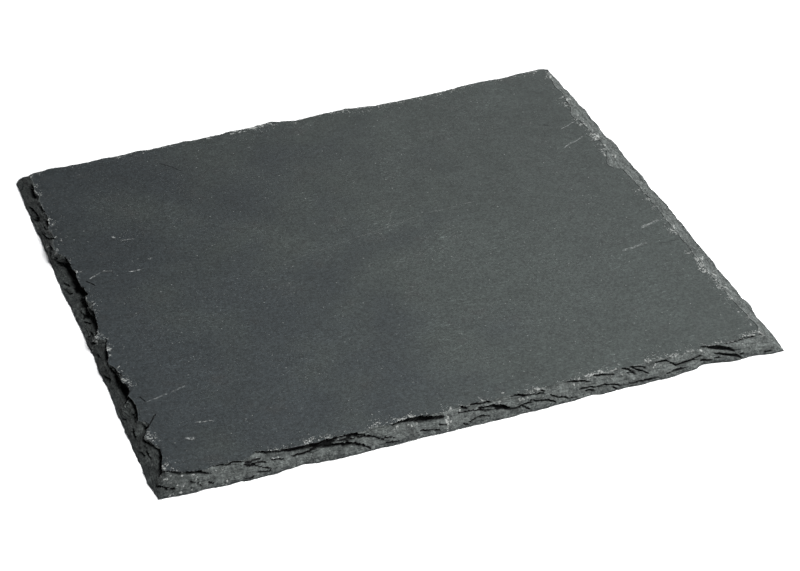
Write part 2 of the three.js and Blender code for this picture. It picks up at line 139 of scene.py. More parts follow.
# Slits between laminae, seen from the front left and above. A row is a station, a setback on the plain
# slope and a width.
SLITS = {
    "front": (
        ((4.5, 12.2, 0.5), (7, 11.3, 0.4), (9.7, 10.2, 0.4), (11, 9.2, 0.8), (14, 7.9, 0.8),
         (17, 7.2, 0.7), (19, 6.8, 0.8), (21, 6.2, 0.7), (23, 5.7, 0.6), (24.3, 5.4, 0.3)),
        ((26.7, 7.1, 0.3), (28.5, 7, 0.3), (30, 7.1, 0.3), (31, 6.8, 0.6), (32.5, 6.4, 0.4),
         (34, 6.6, 0.3), (35.5, 6.9, 0.3), (37, 7, 0.4), (39, 6.6, 0.4), (40.5, 6, 0.4), (42, 5.7, 0.3),
         (48, 5.9, 0.2)),
        ((45.8, 11.2, 0.3), (46.8, 10, 0.4), (48, 9.2, 0.5), (49.5, 8.6, 0.8), (51, 8.1, 1.3),
         (53, 7.9, 0.9), (54.5, 7.5, 0.8), (56, 7.1, 0.6), (58, 6.8, 0.5), (60, 6.6, 0.9), (62, 6.4, 1.1),
         (65, 6.4, 1.3), (68, 6.1, 1.5), (71, 6.1, 1.5), (75, 6, 1.6), (77, 5.7, 1.6), (79, 5.9, 1.6),
         (81, 6.2, 1.0), (84, 6.7, 0.4), (87, 6.7, 0.5), (90, 6.5, 0.8), (92, 6.1, 0.9), (94, 5.9, 0.5),
         (96, 5.6, 0.3)),
        ((60.5, 7.9, 0.5), (62, 7.8, 0.4)),
        ((80, 5.9, 0.5), (84, 5.4, 0.5), (88, 5.1, 0.4), (92, 5, 0.5), (95, 4.9, 0.6), (98, 4.5, 0.6),
         (100, 3.9, 0.5), (102, 3, 0.5), (103.5, 2.2, 0.4)),
        ((62, 4, 0.4), (64, 4.2, 0.4), (67, 4.1, 0.3), (70, 4.4, 0.3), (73, 5, 0.6), (77, 4.8, 0.8),
         (80, 4.5, 0.9), (84, 4.1, 0.8), (88, 3.6, 0.8), (91, 2.8, 0.8), (94, 1.8, 0.6), (96.5, 0.7, 0.4)),
        ((40.5, 5, 0.3), (44, 4.9, 0.4), (47, 4.7, 0.4), (50, 4.5, 0.3)),
        ((52, 4.9, 0.4), (54, 4.3, 0.4), (56, 4.1, 0.4), (58, 3.9, 0.3)),
        ((42, 4.3, 0.3), (45, 4.1, 0.3), (47, 3.2, 0.3), (50, 2.4, 0.3), (51.5, 1.8, 0.3)),
        ((45, 1.8, 0.3), (48, 1.4, 0.3), (51, 1, 0.2)),
        ((0.5, 4.8, 0.5), (2, 4.9, 0.5), (3.5, 4.3, 0.4), (5, 3.8, 0.4), (6.5, 3.5, 0.3), (8.5, 3, 0.4)),
        ((16, 3.6, 0.3), (18, 3.2, 0.4), (19.5, 2.2, 0.5), (20.5, 1.4, 0.3)),
        ((23.2, 2, 0.5), (25, 1.5, 0.4)),
        ((39, 0.4, 0.4), (42, 0.3, 0.5), (44, 0.3, 0.3)),
        ((104, 2.8, 0.3), (107, 2.4, 0.3), (108.5, 2.3, 0.2)),
        ((104.5, 1, 0.4), (107, 0.7, 0.6), (110, 0.8, 0.3)),
        ((109.5, 6.4, 0.3), (111, 6.6, 0.5), (113, 6.9, 0.7), (116, 6.8, 0.7), (118, 6.5, 1.1),
         (120, 6.2, 1.5), (122, 5.9, 1.6), (124, 5.8, 1.2), (126, 5.7, 1.1), (128, 5.5, 1),
         (130, 5.3, 0.9), (132, 5, 0.9), (133.3, 4.9, 0.4)),
        ((120, 7.1, 0.3), (124, 7, 0.4), (127, 6.9, 0.3)),
        ((121, 2.1, 0.3), (124, 1.9, 0.4), (127, 1.4, 0.4), (129, 1, 0.3)),
        ((130, 2.7, 0.2), (133, 2.4, 0.3)),
        ((140.5, 5.2, 0.2), (143, 5, 0.3), (146, 4.8, 0.3), (149, 4.6, 0.4), (151, 4.2, 0.5),
         (153, 3.8, 0.5), (157, 3.3, 0.5), (160, 2.9, 0.6)),
        ((142.3, 7.3, 0.4), (143, 6.6, 0.7), (144.5, 6, 0.4)),
        ((147, 6.8, 0.3), (149, 6.9, 0.3), (152, 6.7, 0.3), (154.5, 6.6, 0.5), (156, 6.2, 0.3)),
        ((150, 5, 0.3), (152, 5.1, 0.3), (154, 5, 0.6), (156, 4.7, 0.7), (158, 4.3, 0.9), (160, 3.8, 1.1),
         (161.5, 3.2, 1.2), (163, 2.6, 0.7), (165, 2.4, 0.5), (168, 2.5, 0.5), (171, 2.7, 0.4),
         (174, 2.9, 0.2)),
        ((144, 1.5, 0.3), (147, 1.9, 0.3), (150, 2.2, 0.4), (152, 2.1, 0.3), (154, 1.6, 0.2)),
        ((141, 1, 0.6), (142.5, 0.6, 0.5)),
        ((167.5, 6.7, 0.3), (169.5, 6.4, 0.5), (171.5, 6, 0.6), (174, 5.6, 0.6), (176, 5.3, 0.4),
         (178.5, 5.1, 0.4), (181, 5, 0.3)),
        ((170, 2.1, 0.4), (171.5, 1.2, 0.4), (173, 0.7, 0.3)),
        ((174.5, 3.4, 0.3), (177, 3, 0.4), (180, 2.6, 0.4), (181.5, 2.2, 0.5), (183.5, 1.6, 0.6),
         (185.5, 1.1, 0.4)),
        ((180.5, 5.9, 0.3), (182, 5.5, 0.3)),
        ((184, 3.7, 0.4), (186, 3, 0.5), (188, 2.3, 0.4), (190, 2, 0.5), (191.5, 1.3, 0.6)),
        ((193, 1, 0.4), (196, 0.8, 0.3)),
        ((193.5, 6.9, 0.3), (196, 6.8, 0.3), (198, 6.4, 0.5), (200, 6, 0.6), (202, 5.6, 0.5),
         (204, 5.3, 0.3)),
        ((198, 3.5, 0.3), (201, 3.4, 0.4), (203.5, 3.2, 0.6), (206, 2.8, 0.4), (209, 2.7, 0.3),
         (213, 2.4, 0.3), (216, 1.7, 0.5), (217.5, 1.3, 0.4)),
        ((201, 2.4, 0.3), (203, 2, 0.4), (205, 1.7, 0.3)),
        ((206.5, 7, 0.3), (209, 6.7, 0.4), (211, 6.4, 0.6), (213, 6, 0.6), (215.5, 5.6, 0.4)),
        ((220.5, 7.1, 0.3), (222, 6.5, 0.5), (223.5, 5.9, 0.6), (224.5, 5.2, 0.4), (226, 4.6, 0.3)),
        ((224.5, 6.7, 0.3), (226.5, 5.9, 0.5), (228, 5.1, 0.4), (230, 4.4, 0.5), (231.5, 3.3, 0.5),
         (232, 2.8, 0.3)),
        ((225, 6.7, 0.3), (228, 6.4, 0.3), (230, 6, 0.4), (232, 5.2, 0.3)),
        ((222, 4.9, 0.3), (224.5, 4.6, 0.4), (226, 4.1, 0.3)),
        ((214, 1, 0.5), (215, 0.3, 0.3)),
        ((222, 1.2, 0.3), (226, 0.9, 0.5), (229, 1, 0.4), (232, 1, 0.5), (236, 1, 0.3)),
        ((237.5, 6.4, 0.2), (240, 6.2, 0.4), (242, 6, 0.5), (243.5, 5.4, 0.4), (245, 4.4, 0.4),
         (246, 3.5, 0.3)),
        ((241, 1.5, 0.3), (244, 1.8, 0.4), (248, 2, 0.4), (250, 1.9, 0.3)),
        ((246.5, 3.7, 0.3), (249, 3.6, 0.4), (251.5, 3.9, 0.4), (254, 4.3, 0.5), (257, 4.6, 0.4),
         (259.5, 4.9, 0.3)),
        ((258.5, 3.3, 0.5), (260.5, 3.1, 0.5), (262, 2.7, 0.4), (263.5, 2.4, 0.3)),
        ((261.3, 8.9, 0.5), (262, 8.1, 0.7), (263.5, 7.3, 0.5), (265.5, 6.9, 0.9), (268, 6.4, 1.1),
         (270.5, 5.8, 1.1), (272.5, 5.3, 1), (274.5, 4.5, 0.9), (276, 3.7, 0.4)),
        ((266.5, 4.2, 0.3), (269.5, 3.9, 0.5), (272, 3.1, 0.7), (274.5, 2.4, 0.8), (276.5, 1.8, 0.7),
         (278, 0.8, 0.5)),
        ((265.5, 2.8, 0.3), (268.5, 2.7, 0.4)),
        ((273, 7, 0.2), (276, 6.9, 0.3), (280, 7.1, 0.3), (284, 7.5, 0.2), (287, 7.1, 0.4)),
        ((278.5, 2, 0.4), (280, 1.9, 0.3)),
        ((290.3, 7.8, 0.5), (290.8, 7.6, 0.5)),
        ((290, 0.9, 0.3), (293, 0.6, 0.4)),
    ),
    "left": (
        ((14, 5.7, 0.5), (15.5, 5.8, 0.8), (18.5, 6, 0.3), (20, 5.6, 0.3)),
        ((16, 4.7, 0.4), (18, 4.9, 0.7), (20, 4.8, 0.8), (22, 4.7, 0.9), (24, 4.6, 0.9), (25.7, 4.5, 0.5)),
        ((9.5, 2.2, 0.4), (10.2, 1.4, 0.7), (10.5, 0.6, 0.5)),
        ((28, 1.2, 0.4), (30, 1.6, 0.6), (32, 1.9, 0.6), (34, 2.2, 0.5), (36, 2.5, 0.4), (38, 2.8, 0.3),
         (40, 3.2, 0.3)),
        ((35, 5.4, 0.3), (37, 5.6, 0.5), (39, 5.7, 0.3), (42, 6, 0.2)),
        ((40, 2, 0.6), (41.5, 2.2, 1.5), (43, 2.6, 0.9)),
        ((39, 0.7, 0.6), (41, 1.2, 0.5)),
        ((48.5, 5.2, 0.4), (50, 5.1, 0.7), (52, 5.1, 0.7), (53.5, 4.9, 0.5), (55, 4, 0.3)),
        ((51, 3.3, 0.3), (54, 3.6, 0.3)),
        ((54.5, 1.4, 0.3), (57, 2.1, 0.4), (59.5, 2.5, 0.4), (61.5, 3.1, 0.4), (63, 3.7, 0.3),
         (65.5, 5, 0.2)),
        ((66, 2.2, 0.3), (68, 2.5, 0.4), (70, 2.7, 0.4), (71.5, 2.5, 0.3)),
        ((78, 3, 0.4), (80, 2.7, 0.4)),
        ((79, 1.9, 0.4), (82, 2, 0.5), (84, 2.5, 0.8), (86, 3.4, 1.2), (88, 4.2, 1.7), (90, 4.8, 1.8),
         (92, 5, 2), (96, 5.3, 2), (100, 5.3, 2.2), (104, 5.3, 2.2), (108, 5.5, 2), (112, 5.6, 2),
         (114, 5.8, 2.2), (116, 6.3, 2.2), (118, 6.7, 1.8), (119.5, 7.5, 0.9)),
        ((84, 5.8, 0.4), (86, 5.9, 0.6), (88, 6.1, 0.6), (90, 6.3, 0.5), (92, 6.7, 0.4)),
        ((97, 7, 0.4), (99, 7.1, 0.5), (101, 7.3, 0.3)),
        ((113, 7.8, 0.5), (115, 7.5, 0.8), (117, 7.5, 0.6)),
        ((117.5, 8.6, 0.3), (119.5, 8.3, 0.4), (120.5, 7.6, 0.4)),
        ((99.5, 1.3, 0.3), (101, 1.9, 0.4), (102.5, 2.4, 0.5), (104.5, 2.5, 0.3)),
        ((104, 0.6, 0.3), (107, 1, 0.4), (109, 1.5, 0.3), (111, 2.8, 0.3)),
        ((108, 4, 0.4), (111, 4.2, 0.6), (113.5, 4, 0.4)),
        ((119.5, 4.3, 0.6), (121, 5, 1.2), (123, 5.2, 1.6), (125, 5.2, 1.4), (127, 4.9, 1.4),
         (129, 4.6, 1.4), (131, 4.4, 1.6), (133, 4.2, 1.6), (135, 4.9, 1.4), (137, 5.4, 1.5),
         (140, 5.7, 1.5), (143, 5.6, 1.4), (146, 5.5, 1.3), (148, 5.1, 0.8), (149.2, 4.4, 0.5)),
        ((127.5, 7.9, 0.3), (129.5, 7.6, 0.5), (132, 7.3, 0.7), (135, 7.2, 0.6), (138, 7, 0.5),
         (141, 6.7, 0.6), (144, 6.5, 0.5), (147, 6.2, 0.4)),
        ((131, 3.3, 0.4), (132.5, 2.7, 0.5)),
        ((136, 3, 0.3), (138, 3.8, 0.3), (140, 4.4, 0.4)),
        ((144, 2.8, 0.3), (147, 3.3, 0.4), (149, 3.4, 0.3)),
        ((145, 1.4, 0.3), (147, 1.9, 0.3)),
        ((151.5, 1.7, 0.4), (153, 2.3, 0.6), (154, 2.9, 0.3)),
        ((157.5, 7.1, 0.5), (159, 6.8, 0.8), (161, 6.4, 0.6), (163, 5.6, 0.5), (165, 5, 0.9),
         (167, 4.9, 1.2), (169, 4.7, 1.3), (171, 4.4, 1), (172.5, 3.8, 0.5), (174, 3.8, 0.3),
         (176, 3.9, 0.5), (178, 4.2, 0.7), (181, 4.4, 0.9), (184, 4.5, 1.2), (187, 4.6, 1.4),
         (190, 4.7, 1.6), (193, 4.9, 1.6), (196, 4.9, 1.5), (198, 5, 1.6), (200, 4.9, 1.4),
         (202, 4.5, 0.8), (204, 3.9, 0.6), (206, 3.9, 0.3)),
        ((161, 1.9, 0.3), (163, 2.2, 0.6), (165, 2.4, 0.3)),
        ((192, 6.5, 0.4), (194, 6.9, 1.1), (196, 7, 1.3), (198, 6.8, 1.4), (199.5, 6.9, 1.2),
         (200.3, 6.2, 0.6)),
        ((178, 5.3, 0.3), (181, 5.8, 0.3), (184, 6.4, 0.4), (187, 6.9, 0.4)),
        ((177, 1, 0.3), (179.5, 1.5, 0.5), (182, 2.2, 0.5), (183.5, 1.8, 0.8)),
        ((202, 6, 0.4), (204, 6.2, 0.5), (206, 6.4, 0.5), (208, 6.5, 0.7), (210, 6.6, 0.9), (212, 6.3, 1),
         (214, 6.1, 0.9), (216, 5.9, 0.9), (218, 5.6, 0.8), (219.3, 5.2, 0.4)),
        ((201, 5, 0.4), (203.5, 5.3, 0.3)),
        ((211, 0.6, 0.4), (213, 1.5, 0.4)),
        ((214, 4.8, 0.4), (217, 4.7, 0.5), (219, 4.4, 0.3)),
        ((222.3, 7.8, 0.5), (224, 8.2, 0.8), (225.5, 8.6, 0.5), (227, 7.8, 0.4), (228.5, 6.9, 0.5),
         (230, 6, 0.5), (231, 5, 0.6), (232, 4.2, 0.6), (234, 4.7, 0.5), (236, 5.2, 0.5), (238, 6, 0.5),
         (240, 7.2, 0.4)),
        ((221, 2.4, 0.3), (223, 2.4, 0.6), (225, 2.2, 0.5), (227.5, 2.1, 0.3)),
        ((237, 1.8, 0.3), (239.5, 2.1, 0.4), (241.5, 2.5, 0.3)),
        ((240, 3.6, 0.3), (243, 3.9, 0.5), (246, 4.1, 0.3)),
        ((241.5, 8.4, 0.4), (243, 9, 0.5), (246, 8.6, 0.6), (248, 8.1, 0.8), (250, 7.4, 1.2),
         (252, 6.8, 1.3), (254, 6.1, 1.1), (256, 5.9, 1), (257.8, 5.2, 0.8), (258.3, 4.2, 0.4)),
        ((258.8, 8, 0.4), (260, 9, 0.5), (260.3, 10, 0.8), (260.3, 11.5, 0.8)),
        ((265, 3.6, 0.3), (267, 4.3, 0.4), (269, 4.9, 0.3)),
        ((262, 2.2, 0.5), (263.5, 1.6, 0.4)),
    ),
    "right": (
        ((40, 9.5, 0.3), (41, 9.4, 0.4)),
        ((43, 9.1, 0.4), (44, 8.8, 0.5)),
        ((261.8, 9.3, 0.7), (262.3, 9, 0.5)),
        ((262, 14, 0.6), (263, 13, 0.6)),
    ),
    "back": (),
}

# How thickly crushed grains lie along the top edge: station, density
CRUSHED = {
    "front": (
        (0, 0.3), (10, 0.3), (20, 0.2), (24, 0.6), (30, 0.5), (45, 0.2), (52, 0.5), (55, 0.6), (60, 0.6),
        (66, 0.6), (70, 0.8), (73, 0.8), (78, 0.9), (84, 0.5), (90, 0.4), (98, 0.6), (102, 0.9), (107, 0.8),
        (113, 1.0), (118, 0.9), (125, 0.8), (130, 0.4), (135, 0.8), (140, 0.6), (145, 0.6), (155, 0.7),
        (160, 0.7), (168, 0.5), (176, 0.7), (183, 0.7), (190, 0.5), (197, 0.7), (204, 0.8), (210, 0.9),
        (218, 0.8), (225, 0.6), (235, 0.8), (245, 0.8), (253, 0.9), (262, 0.8), (268, 0.9), (272, 0.6),
        (280, 0.7), (287, 0.9), (300, 0.9),
    ),
    "right": (
        (0, 0.8), (12, 0.9), (20, 0.5), (28, 0.3), (35, 0.8), (42, 0.9), (48, 0.5), (55, 0.7), (62, 0.9),
        (72, 0.9), (80, 0.9), (88, 0.8), (96, 0.9), (104, 0.5), (120, 0.4), (130, 0.9), (138, 0.9),
        (145, 0.8), (152, 0.4), (160, 0.7), (168, 0.8), (176, 0.7), (186, 0.5), (195, 0.9), (222, 0.9),
        (232, 0.8), (240, 0.5), (250, 0.6), (258, 0.9), (270, 1.0),
    ),
    "back": (
        (0, 0.3), (20, 0.3), (35, 0.6), (45, 0.4), (60, 0.8), (75, 0.6), (85, 0.4), (97, 0.6), (105, 0.5),
        (115, 1.0), (131, 1.0), (138, 0.8), (145, 0.5), (155, 0.6), (165, 0.6), (177, 0.8), (185, 0.9),
        (197, 0.6), (222, 0.7), (232, 0.8), (258, 0.6), (270, 0.5), (285, 0.8), (300, 0.9),
    ),
    "left": (
        (0, 0.4), (8, 0.6), (14, 0.4), (20, 0.7), (27, 0.7), (30, 0.3), (35, 0.5), (45, 0.4), (48, 0.9),
        (54, 0.8), (60, 0.4), (66, 0.7), (75, 0.6), (88, 0.4), (96, 0.3), (99, 0.9), (103, 0.4), (110, 0.2),
        (121, 0.5), (127, 0.7), (135, 0.5), (145, 0.2), (150, 0.7), (156, 0.7), (160, 0.3), (164, 0.9),
        (168, 0.8), (175, 0.3), (179, 0.8), (186, 0.5), (191, 0.9), (196, 0.8), (200, 0.3), (215, 0.3),
        (228, 0.6), (231, 0.8), (236, 0.8), (245, 0.2), (252, 0.6), (255, 0.9), (262, 0.7), (270, 0.6),
    ),
}

# Bruises, read as the slits are: station, setback, radius, strength
BRUISES = {
    "front": (
        (5.5, 6.6, 0.6, 0.9), (6.6, 6.6, 0.5, 0.8), (13.3, 6.6, 0.6, 0.9), (17.7, 5.8, 0.5, 0.9),
        (28.7, 4.2, 0.4, 0.9), (28.5, 6, 0.5, 0.7), (31, 5.5, 0.6, 0.7), (31.5, 1.2, 0.8, 0.9),
        (32.6, 1, 0.5, 0.9), (15.5, 1.3, 0.6, 0.7), (11, 1, 0.7, 0.7), (8, 0.8, 0.6, 0.6),
        (47, 7.2, 0.7, 0.6), (53.8, 5, 0.8, 1), (56, 5, 0.55, 1), (63.8, 9.7, 0.7, 0.7),
        (61.5, 8.5, 0.6, 0.6), (70.2, 9.2, 0.7, 1), (71.3, 8.2, 0.7, 1), (72, 9.2, 0.5, 0.9),
        (74, 9.3, 0.4, 0.7), (79, 7.8, 1, 0.7), (84, 5.9, 0.5, 0.8), (103.5, 10.3, 0.8, 0.7),
        (104.5, 9, 0.8, 0.8), (103, 8.3, 0.6, 0.7), (108, 10.8, 0.6, 0.6), (113, 8.2, 1.1, 0.8),
        (115.5, 8.4, 1, 0.8), (118.3, 8.8, 0.7, 0.9), (124, 8.3, 0.8, 0.6), (126, 9.2, 0.6, 0.7),
        (126.5, 7.8, 0.6, 0.8), (109.5, 4.9, 0.8, 0.9), (111.6, 5.5, 0.8, 1), (116.5, 5.6, 0.5, 1),
        (117.6, 5, 0.6, 1), (119, 4.3, 0.6, 0.9), (120.5, 5.2, 0.6, 0.8), (134, 3.4, 0.9, 1),
        (135, 4.6, 0.6, 1), (135.6, 3.2, 0.6, 1), (137.5, 7.8, 0.6, 0.8), (141.2, 6.4, 0.6, 0.8),
        (142.5, 10, 1, 0.5), (155, 7.6, 0.6, 0.6), (157.5, 6.2, 0.8, 0.7), (160, 5.6, 0.8, 0.8),
        (170, 7.8, 0.5, 0.8), (175, 6.7, 0.6, 0.9), (178.5, 7, 0.8, 0.8), (181.5, 7, 0.6, 0.7),
        (169.5, 4.8, 1, 0.9), (171, 5, 0.7, 1), (173, 4.9, 0.6, 0.9), (180, 4.5, 0.6, 0.6),
        (191.3, 7.3, 0.5, 0.8), (194, 5.2, 0.8, 0.6), (196.3, 5.8, 0.7, 0.8), (198, 5, 0.8, 0.7),
        (199, 7, 0.7, 0.8), (200.5, 7.8, 0.5, 0.8), (202.3, 7.8, 0.5, 0.8), (209.5, 7.6, 0.6, 0.9),
        (211, 7.6, 0.5, 1), (216.5, 7.7, 0.6, 1), (222, 7.8, 0.5, 0.7), (228.5, 7.8, 0.6, 0.7),
        (212, 4, 0.6, 0.6), (214, 4.5, 0.6, 0.6), (219.7, 5, 0.6, 1), (219, 5.6, 0.5, 0.8),
        (229, 3, 0.5, 0.5), (231.5, 4.2, 0.6, 0.7), (235.3, 5, 0.6, 1), (236.5, 5.8, 0.7, 0.8),
        (238.5, 5, 0.7, 0.7), (233.5, 8.2, 0.7, 0.7), (236, 9, 0.6, 0.7), (240, 7.7, 0.6, 0.9),
        (245.5, 8.2, 0.5, 0.6), (248, 8.3, 0.7, 0.7), (251.5, 7.5, 0.6, 0.8), (253.5, 8, 0.8, 0.9),
        (256, 7.7, 0.6, 0.8), (260, 6.9, 0.6, 1), (261, 6, 0.5, 0.8), (264.8, 8.4, 0.7, 1),
        (266.6, 8.7, 0.7, 1), (269, 7.8, 0.6, 0.9), (272.3, 9, 0.4, 0.9), (280.5, 9, 0.6, 0.8),
        (282.5, 9.2, 0.6, 0.8), (286, 8.9, 0.5, 0.8), (289.5, 9.4, 0.9, 1), (291, 9.6, 0.7, 0.9),
        (281, 5.5, 0.4, 0.7), (262.5, 4.5, 0.7, 0.6), (264, 3.8, 0.6, 0.6),
    ),
    "left": (
        (8.4, 7.2, 0.8, 0.7), (17.5, 6.6, 0.8, 0.6), (26.5, 7, 0.7, 0.8), (31, 5, 0.8, 0.6),
        (32, 8.7, 0.7, 0.5), (40, 8.7, 0.6, 0.6), (43, 9.3, 0.6, 0.5), (35, 7, 0.5, 0.5),
        (47.3, 7.8, 0.6, 0.9), (49.3, 6.6, 0.9, 1), (51.8, 5.9, 0.7, 1), (55, 6.7, 0.6, 0.8),
        (57.3, 6.8, 0.5, 1), (62.5, 7.7, 0.6, 0.7), (65.3, 6.5, 0.7, 1), (66.5, 1.6, 0.9, 1),
        (59.5, 1.2, 0.5, 0.7), (74.5, 4.9, 0.9, 0.7), (76, 3.5, 1.2, 0.8), (77, 2.3, 0.7, 0.8),
        (81.5, 4.8, 1.4, 0.5), (99, 8.2, 1, 1), (97.5, 7.6, 0.6, 0.8), (89, 7.5, 0.7, 0.6),
        (104, 7.7, 0.8, 0.6), (107, 7.3, 0.6, 0.7), (122, 7.4, 0.6, 0.8), (126.4, 8.9, 0.6, 1),
        (126.5, 6.1, 0.9, 0.7), (129, 5.8, 0.9, 0.8), (131.8, 5.4, 0.7, 1), (129, 8.7, 0.8, 0.6),
        (134.5, 7.9, 0.8, 0.6), (149.5, 5.3, 0.6, 1), (153, 5.5, 1.3, 0.6), (155.5, 4, 0.9, 0.8),
        (154.5, 1.5, 0.8, 0.8), (156.5, 1, 0.6, 0.8), (163, 7, 0.5, 0.9), (165, 6.9, 1.2, 1),
        (166, 7.6, 0.6, 1), (168, 8.4, 0.5, 0.9), (180, 6.9, 0.4, 0.9), (179, 8.2, 0.5, 0.8),
        (182.5, 7.1, 0.6, 0.6), (186.3, 7.4, 0.4, 0.8), (190.6, 8.8, 0.4, 1), (191, 7.6, 0.45, 1),
        (192.8, 7.6, 0.4, 1), (195.7, 8.3, 0.4, 1), (195.7, 9.5, 0.4, 0.8), (201, 8.9, 0.6, 0.5),
        (227.8, 8.3, 0.4, 0.7), (229.5, 7.2, 0.5, 0.8), (231.3, 7.3, 0.7, 1), (231, 5.6, 0.5, 0.7),
        (236.5, 8.3, 0.9, 0.7), (250.8, 8.2, 0.5, 0.9), (255.6, 8.6, 0.6, 1), (254.8, 7.3, 0.9, 1),
        (249.3, 4, 0.5, 1), (251, 4.6, 0.5, 0.7), (259, 4.5, 1.6, 0.45), (275, 9.5, 0.6, 1),
        (273.5, 5.5, 1.2, 0.7), (263, 8.5, 1, 0.5), (267, 7.5, 1.2, 0.5), (269, 9.5, 1.2, 0.5),
    ),
    "right": (
        (38.5, 8.7, 0.8, 1), (36, 8.7, 0.6, 0.7), (41.5, 8.5, 0.6, 0.7), (54.5, 9.2, 0.8, 0.8),
        (61.5, 9.4, 0.7, 0.9), (63.5, 9.6, 0.8, 1), (65.5, 9.5, 0.6, 1), (71, 8.6, 0.8, 0.9),
        (75, 8.8, 0.8, 1), (77, 8, 1, 1), (87, 8.4, 1, 0.9), (97, 8.6, 0.8, 1), (130.5, 8.2, 0.8, 1),
        (132.8, 8.2, 0.6, 0.9), (136, 7, 0.8, 0.8), (140, 7.3, 0.6, 0.8), (158.5, 13.3, 0.7, 0.8),
        (159.4, 12.4, 0.5, 0.8), (160.5, 8.5, 0.6, 0.7), (129, 11.5, 0.6, 0.7), (177, 8.8, 1, 0.6),
        (190.8, 9.5, 0.7, 0.9), (196.5, 8.5, 0.5, 0.8), (200, 8.7, 0.5, 0.9), (202.5, 9.3, 0.6, 1),
        (211.5, 7.2, 1.2, 1), (213.5, 11, 0.5, 0.7), (216, 9.3, 0.7, 0.9), (221, 9.2, 0.5, 0.9),
        (222.3, 7, 1.3, 1), (228.5, 8.8, 0.7, 0.9), (232.5, 9.2, 0.7, 1), (243.3, 10.8, 0.5, 0.9),
        (260.5, 10, 0.9, 1), (260.8, 8.9, 0.8, 0.9), (258.5, 8.3, 0.7, 0.8), (248.5, 8.4, 0.5, 0.8),
    ),
    "back": (
        (102, 5.8, 1.2, 0.7), (108, 7, 1.4, 0.5), (114.5, 6.2, 0.7, 0.9), (116, 5.8, 0.6, 1),
        (119, 6, 0.9, 0.9), (122, 6.2, 0.7, 1), (130.6, 5.6, 0.7, 1), (133.5, 5.8, 0.8, 1),
        (136.5, 5.5, 0.7, 0.9), (140, 6, 0.7, 0.6), (163, 6, 1.2, 0.6), (176, 6, 0.8, 0.8),
        (184.5, 6, 0.6, 1), (186.5, 6, 0.5, 1), (196, 8, 1.2, 0.6),
    ),
}

# Pale scratches, read as the slits are: start, end, half width, strength
SCRATCHES = {
    "front": (
        ((19.8, 5.3), (18.5, 4.1), 0.3, 0.9), ((13.8, 3.9), (11.8, 2.9), 0.3, 0.7),
        ((134.2, 8.4), (134.6, 5.2), 0.3, 0.7), ((134.5, 3), (132.8, 0.2), 0.35, 0.9),
        ((146.5, 4.2), (141, 2.6), 0.3, 0.6), ((137, 7.9), (135.5, 6.4), 0.25, 0.6),
    ),
    "left": (
        ((20, 5.9), (25.2, 6.5), 0.35, 1), ((150.6, 2.3), (153.6, 3.9), 0.35, 1),
        ((262.4, 5.2), (264.3, 7.2), 0.35, 1), ((128, 8.4), (140, 7.4), 0.3, 0.6),
        ((178.6, 8.6), (180, 7), 0.3, 0.8), ((167.2, 9), (168.6, 8.2), 0.3, 0.7),
    ),
    "right": (
        ((7.5, 4.2), (13.5, 8), 0.6, 0.9), ((13.5, 5.8), (17, 7.6), 0.4, 0.6),
        ((33.5, 4.4), (38.4, 8.8), 0.5, 1), ((84, 6.6), (87.5, 8.5), 0.4, 0.8),
        ((95.4, 6.6), (99.5, 8.2), 0.6, 1), ((75, 7), (79.5, 8.4), 0.5, 0.9),
        ((130.8, 6.4), (133.4, 8.2), 0.4, 0.8), ((141, 5.6), (145, 8.2), 0.5, 0.7),
        ((163, 5.6), (169.4, 8.6), 0.5, 0.8), ((192.4, 4.1), (198.4, 7.8), 0.6, 0.9),
        ((243.4, 4.6), (247, 7.8), 0.4, 0.6), ((175, 8.3), (178.4, 9), 0.3, 0.7),
    ),
    "back": (),
}

# How far the streaks of a blow lean along the rim for each millimetre of setback
STREAK_LEAN = {"front": 0.3, "right": 0.75, "back": 0.0, "left": 0.9}

# How deep a slit goes, as a least depth and a share of its width, and how deep where it nicks the top face
SLIT_DEPTH = (0.7, 1.1)
SLIT_DROP_ON_TOP = 0.55

# Where a slit's side wall starts and ends, as shares of its width from its middle, and its least width
SLIT_EDGE = (0.92, 0.50)
LEAST_SLIT = 0.42

# The stations before and after a slit and the setbacks within which its points lie
SLIT_MARGIN = 2.0
SLIT_SETBACKS = (-2.0, 14.0)

# Where bruises and scratches start and are whole, as shares of their radius or half width
BRUISE_EDGE = (1.5, 0.5)
SCRATCH_EDGE = (1.6, 0.5)

# How the edges of such marks wander along the rim, as sizes and reaches, and the share of that down it
RAGGEDNESS = ((0.8, 0.30), (2.6, 0.35))
RAGGED_DOWN = 0.6

# How crushed grains thin out: over which distance inward from the top edge, which share of them lies
# just below the edge, over which distance down, and between which setbacks a side's own grains end
CRUSHED_INWARD = 6.0
CRUSHED_BELOW = 0.8
CRUSHED_DOWN = 2.0
CRUSHED_END = (16.0, 12.0)

# Plane noise: the knots of its square table, and the seed of each use
MOTTLE_KNOTS = 256
FLAKE_SEED = 31
SLIT_SEED = 50
BRUISE_SEED = 70
DOWN_SEED_STEP = 10

